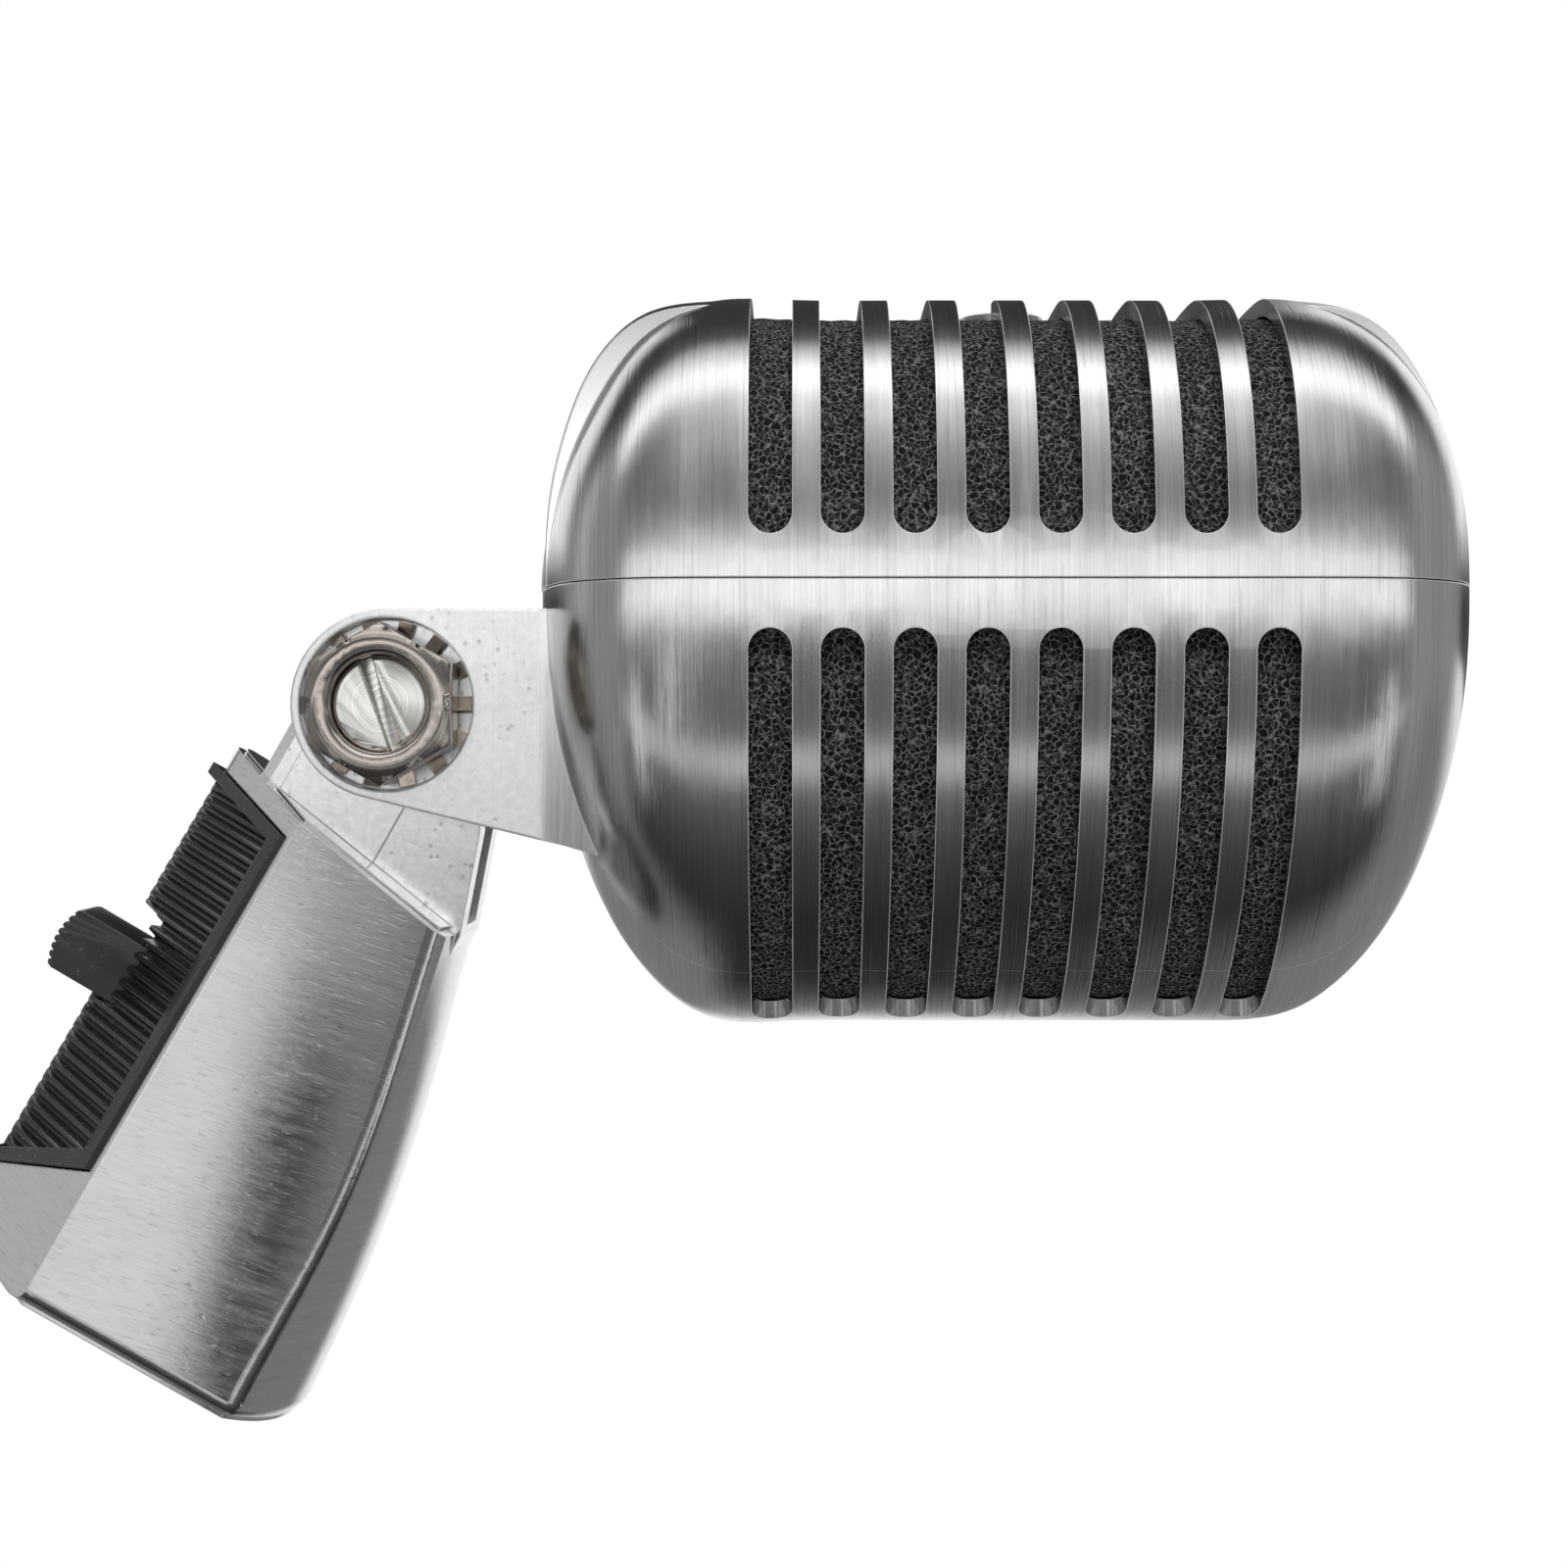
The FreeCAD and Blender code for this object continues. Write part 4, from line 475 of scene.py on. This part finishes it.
def turned_metal(name, colour, roughness, rings):
    """Metal turned about the pivot, with mottling. Noise of the distance from the axis and of the place
    along it gives the rings."""
    material, tree = node_tree(name)
    place = object_place(tree)
    centred = add(tree, "ShaderNodeVectorMath", {0: place, 1: PIVOT}, operation="SUBTRACT").outputs[0]
    flat = add(tree, "ShaderNodeVectorMath", {0: centred, 1: SQUARE_TO_STUD},
               operation="MULTIPLY").outputs[0]
    distance = add(tree, "ShaderNodeVectorMath", {0: flat}, operation="LENGTH").outputs["Value"]
    along = part_along(tree, centred, STUD_AXIS)
    ring = add(tree, "ShaderNodeCombineXYZ", {"X": product(tree, distance, rings),
                                              "Y": product(tree, along, rings)})
    cut = noise(tree, ring.outputs[0], 1.0, 3.0)
    smudges = use_group(tree, HANDLED, {"Vector": place, "Spots per metre": 1500.0}).outputs["Smudges"]
    tint = product(tree, by_noise(tree, cut, 0.75, 1.12, 0.2), by_noise(tree, smudges, 0.82, 1.08))
    finish_bumped(tree, cut, 0.5, 0.00002,
                  {"Base Color": scaled(tree, colour, tint), "Metallic": 1.0,
                   "Roughness": by_noise(tree, smudges, roughness * 0.8, roughness * 1.3)})
    return material


def break_edges(made, width, sharper_than):
    """Rounds the edges of a piece that turn by more than an angle in degrees."""
    bevel = made.modifiers.new("broken_edges", "BEVEL")
    bevel.width = width
    bevel.segments = 2
    bevel.limit_method = "ANGLE"
    bevel.angle_limit = math.radians(sharper_than)
    bevel.use_clamp_overlap = False
    bevel.miter_outer = "MITER_ARC"
    bevel.harden_normals = True


PIVOT_FINISHES = {
    "pivot_stud": turned_metal("turned_stud", (0.84, 0.83, 0.79), 0.26, STUD_RINGS_PER_METRE),
    "pivot_nuts": turned_metal("nickel_nut", (0.50, 0.455, 0.41), 0.2, NUT_RINGS_PER_METRE),
    "lock_washers": surface("lock_washer", (0.50, 0.44, 0.38), 1.0, 0.2, (0.32, 0.27, 0.22)),
    "friction_washers": surface("fibre_washer", (0.10, 0.045, 0.03), 0.0, 0.7, (0.14, 0.07, 0.045)),
}
paint_nodes(PIVOT_FINISHES)
for name in ("pivot_nuts", "pivot_stud"):
    rounded = piece(name + "_finished", welded_copy(name), "head", PIVOT_FINISHES[name])
    break_edges(rounded, width=0.00012, sharper_than=25.0)
    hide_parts(name)

# --- Switch ---------------------------------------------------------------------------------
# The plate over the back is moulded in black with cross ribs, and its slider carries a serrated
# knob. Edges are painted paler as painted highlights, rib tops and the knob's end are painted lighter
# as painted light, and dust lies in scattered pits.
BACK_SLOPE = 0.936                            # the back's two faces fall away by this, per length across
HALF_ANGLE = math.atan2(1, BACK_SLOPE)        # between the ridge's middle plane and each face
RIDGE_BEHIND = 0.0323                         # the ridge at the middle of the plate, to the back
RIDGE_HEIGHT = 0.0330                         # and above the foot
RIDGE_LEAN = 0.0159                           # how far the ridge leans forward, per length up
# Painted highlight: the pale colour that moulding edges are painted
MOULDING_PAINTED_HIGHLIGHT = (0.19, 0.186, 0.175, 1)
DUST = (0.16, 0.14, 0.12, 1)


def moulding_with_painted_light(name, edge_radius, colour, painted_light_from, painted_light_to, painted_light_colour):
    """Black moulding with painted light: its edges are painted paler as a painted highlight, and it is
    painted lighter by the distance that it stands out of the back's two faces, as painted light on its
    raised faces."""
    material, tree = node_tree(name)
    place = object_place(tree)
    parts = add(tree, "ShaderNodeSeparateXYZ", {"Vector": place}).outputs
    lift = math_node(tree, "SUBTRACT", parts["Z"], RIDGE_HEIGHT)
    ridge = math_node(tree, "MULTIPLY_ADD", lift, -RIDGE_LEAN, RIDGE_BEHIND)
    behind = math_node(tree, "SUBTRACT", parts["Y"], ridge)
    side = product(tree, math_node(tree, "ABSOLUTE", parts["X"]), math.cos(HALF_ANGLE))
    out = math_node(tree, "MULTIPLY_ADD", behind, math.sin(HALF_ANGLE), side)
    handled = use_group(tree, HANDLED, {"Vector": place, "Spots per metre": 1600.0})
    fine = noise(tree, place, 1400.0, 4.0)
    edges = use_group(tree, EDGES, {"Radius": edge_radius}).outputs["Edge"]
    # Painted light: faces that stand further out, rib tops and the knob's end, are painted lighter
    coat = blend_colours(tree, ramp(tree, out, painted_light_from, painted_light_to, 0.0, 1.0), colour, painted_light_colour)
    # Painted highlight: edges are painted pale in patches
    coat = blend_colours(tree, product(tree, edges, by_noise(tree, fine, 0.2, 1.0)), coat, MOULDING_PAINTED_HIGHLIGHT)
    coat = blend_colours(tree, product(tree, handled.outputs["Pits"], 0.4), coat, DUST)
    finish_bumped(tree, fine, 0.3, 0.00002,
                  {"Base Color": coat, "Roughness": by_noise(tree, handled.outputs["Smudges"], 0.18, 0.32)})
    return material


SWITCH_FINISHES = {
    "switch_plate": moulding_with_painted_light("ribbed_moulding", edge_radius=0.00012, painted_light_from=0.00030,
                                    painted_light_to=0.00055, colour=(0.008, 0.008, 0.0085, 1),
                                    painted_light_colour=(0.016, 0.016, 0.016, 1)),
    "switch_slider": moulding_with_painted_light("knob_moulding", edge_radius=0.00015, painted_light_from=0.0010,
                                     painted_light_to=0.0045, colour=(0.012, 0.012, 0.012, 1),
                                     painted_light_colour=(0.022, 0.020, 0.018, 1)),
    "switch_body": surface("pressed_board", (0.16, 0.075, 0.035), 0.0, 0.5, (0.11, 0.05, 0.025)),
    "switch_screws": PLATED,
    "switch_terminals": surface("tinned_brass", (0.70, 0.66, 0.54), 1.0, 0.3),
}
paint_nodes(SWITCH_FINISHES)
for name, body in (("switch_plate", "base"), ("switch_slider", "switch")):
    rounded = piece(name + "_finished", welded_copy(name), body, SWITCH_FINISHES[name])
    break_edges(rounded, width=0.00006, sharper_than=30.0)
    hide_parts(name)

# --- Cable connector ------------------------------------------------------------------------
# A moulded disc with three silvered pins sits in the base's bore, where the cable plugs in. A
# blackened set screw under the switch plate holds it there.
paint_nodes({
    "connector_insert": surface("insert_moulding", (0.020, 0.020, 0.021), 0.0, 0.4),
    "connector_pins": surface("silvered_pin", (0.80, 0.78, 0.72), 1.0, 0.22, (0.70, 0.66, 0.56)),
    "connector_screw": surface("black_set_screw", (0.12, 0.12, 0.125), 1.0, 0.4),
})

# --- Floor ----------------------------------------------------------------------------------
# A sheet of white paper under the object. It is seen as pure white, still gives soft light back, and
# stays out of reflections, where the tent stands for the whole room.
FLOOR_SIZE = 6.0
FLOOR_DROP = 0.0005                           # the sheet lies this far below the object
floor_material, tree = node_tree("floor")
seen = add(tree, "ShaderNodeLightPath").outputs["Is Camera Ray"]
diffuse = add(tree, "ShaderNodeBsdfDiffuse", {"Color": (0.8, 0.8, 0.8, 1)})
white = add(tree, "ShaderNodeEmission", {"Color": (1, 1, 1, 1), "Strength": 1.0})
finish_material(tree, add(tree, "ShaderNodeMixShader", {0: seen, 1: diffuse.outputs[0],
                                                        2: white.outputs[0]}))
bpy.ops.mesh.primitive_plane_add(size=FLOOR_SIZE, location=(0, 0, -FLOOR_DROP))
floor = bpy.context.object
floor.name = "floor"
paint(floor, floor_material)
floor.visible_glossy = False

# --- Reflection tent ------------------------------------------------------------------------
# A tent of soft panels hangs round the object and is seen only in reflections. Its bands run along the
# head's axis, each with its angle about it, in degrees (0 on the camera's side, 90 before the head's
# front, -90 behind its back), and its level. Cards of other levels hang inside.
AIM = Vector((0, -0.0218, 0.0899))            # the tent's middle, which the camera looks at
CAMERA_SIDE = Vector((-1, 0, 0))
TENT_RADIUS = 0.9
BANDS = [(-180, 0.05), (-112, 0.05), (-96, 0.10),                 # dark cloth, far side to the back
         (-87, 0.75), (-72, 1.8), (-64, 1.4), (-56, 0.48),        # broad lamp behind the back
         (-45, 0.20), (-24, 0.21), (-14, 0.40),                   # grey wall
         (-9, 1.2), (-3.5, 2.3), (-0.5, 0.5),                     # narrow lamp beside the camera
         (2, 0.18), (22, 0.17), (27, 0.75), (31, 0.75),           # grey wall with a lit strip
         (37, 0.17), (55, 0.075), (80, 0.033), (106, 0.036),      # dark cloth before the front
         (118, 0.16), (136, 0.7), (150, 1.0), (180, 1.0)]         # white wall, far side to the front
END_LEVEL = 0.36


def card(tree, below, level, *sides):
    """A card in the tent: inside all its sides, each a value with where it is dark and where it is lit,
    its level takes the place of what lies below."""
    inside = product(tree, 1.0, *(ramp(tree, *side, 0.0, 1.0) for side in sides))
    return blend_colours(tree, inside, below, (level, level, level, 1))


def tent_material():
    """A direction's parts toward the camera, across the head to its front and along the head place it on
    the tent. The angle of the first two chooses the band, whose level is the light given off."""
    material, tree = node_tree("tent")
    facing = add(tree, "ShaderNodeVectorMath", {0: object_place(tree)}, operation="NORMALIZE").outputs[0]
    toward, across, along = [part_along(tree, facing, way) for way in (CAMERA_SIDE, HEAD_FORWARD, HEAD_UP)]
    steep = math_node(tree, "ABSOLUTE", along)
    slanted = math_node(tree, "MULTIPLY_ADD", across, 0.19, along)
    turned = ramp(tree, math_node(tree, "ARCTAN2", across, toward), -math.pi, math.pi, 0.0, 1.0)
    bands = add(tree, "ShaderNodeValToRGB", {"Fac": turned})
    elements = bands.color_ramp.elements
    while len(elements) < len(BANDS):
        elements.new(0.5)
    for element, (degrees, level) in zip(elements, BANDS):
        element.position = (degrees + 180) / 360
    for element, (degrees, level) in zip(elements, BANDS):
        element.color = (level, level, level, 1)
    ends = ramp(tree, steep, 0.76, 0.90, 0.0, 1.0)
    lit = blend_colours(tree, ends, bands.outputs["Color"], (END_LEVEL, END_LEVEL, END_LEVEL, 1))
    # Grey cloth low on the far side, and a pale card high on it, both at the head's two ends.
    lit = card(tree, lit, 0.27, (steep, 0.12, 0.30), (across, 0.05, 0.20), (toward, 0.20, -0.20))
    lit = card(tree, lit, 1.15, (steep, 0.22, 0.36), (across, -0.08, -0.16), (toward, -0.45, -0.65))
    # A narrow lamp low on the camera's side at each end, and one small card past the fork.
    lit = card(tree, lit, 1.0, (steep, 0.62, 0.66), (steep, 0.76, 0.72), (across, 0.12, 0.2),
               (across, 0.62, 0.5), (toward, 0.1, 0.25))
    lit = card(tree, lit, 0.65, (along, -0.86, -0.90), (across, -0.02, -0.06), (toward, -0.08, -0.16),
               (toward, -0.32, -0.26))
    # Low beside the camera a window lights the base's flat side, with a wall and a dark door next to it.
    room = ((slanted, -0.35, -0.33), (across, 0.03, 0.06), (across, 0.42, 0.36), (toward, 0.80, 0.86))
    lit = card(tree, lit, 0.58, (slanted, -0.172, -0.196), *room)
    lit = card(tree, lit, 0.36, (slanted, -0.172, -0.196), (across, 0.112, 0.120), *room)
    lit = card(tree, lit, 0.04, (slanted, -0.196, -0.204), (across, 0.142, 0.148), *room)
    lit = card(tree, lit, 1.05, (slanted, -0.236, -0.246), *room)
    finish_material(tree, add(tree, "ShaderNodeEmission", {"Color": lit, "Strength": 1.0}))
    return material


bpy.ops.mesh.primitive_uv_sphere_add(radius=TENT_RADIUS, segments=64, ring_count=32, location=AIM)
tent = bpy.context.object
tent.name = "tent"
paint(tent, tent_material())
for ray in ("camera", "diffuse", "shadow", "transmission", "volume_scatter"):
    setattr(tent, "visible_" + ray, False)

# --- Light and camera -----------------------------------------------------------------------
# A white room lights the object from all sides, and one lamp behind and above it, on the camera's
# side, adds shape. The camera looks at the head's side, with the head's axis level in the picture.
ROOM_LEVEL = 0.7
KEY_AT = Vector((-0.6, 0.25, 0.75))
CAMERA_DISTANCE = 0.260
world = bpy.data.worlds.new("studio")
bpy.context.scene.world = world
world.use_nodes = True
world.node_tree.nodes.clear()
path = add(world.node_tree, "ShaderNodeLightPath").outputs
seen = math_node(world.node_tree, "MAXIMUM", path["Is Camera Ray"], path["Is Glossy Ray"])
sky = add(world.node_tree, "ShaderNodeBackground", {
    "Color": (1, 1, 1, 1), "Strength": by_mask(world.node_tree, seen, ROOM_LEVEL, 1.0)})
add(world.node_tree, "ShaderNodeOutputWorld", {"Surface": sky.outputs[0]})

lamp = bpy.data.lights.new("key", "AREA")
lamp.shape = "RECTANGLE"
lamp.size = 0.5
lamp.size_y = 0.5
lamp.energy = 6.0
key = bpy.data.objects.new("key", lamp)
bpy.context.scene.collection.objects.link(key)
key.location = KEY_AT
key.rotation_euler = (AIM - KEY_AT).to_track_quat("-Z", "Y").to_euler()

camera_data = bpy.data.cameras.new("camera")
camera_data.sensor_width = 36.0
camera_data.lens = 54.77
camera_data.shift_x = -0.0081
camera_data.shift_y = -0.025
camera = bpy.data.objects.new("camera", camera_data)
bpy.context.scene.collection.objects.link(camera)
camera.matrix_world = Matrix.Translation(AIM + CAMERA_SIDE * CAMERA_DISTANCE) @ Matrix(
    (HEAD_UP, -HEAD_FORWARD, CAMERA_SIDE)).transposed().to_4x4()
bpy.context.scene.camera = camera
bpy.context.scene.view_settings.view_transform = "Standard"
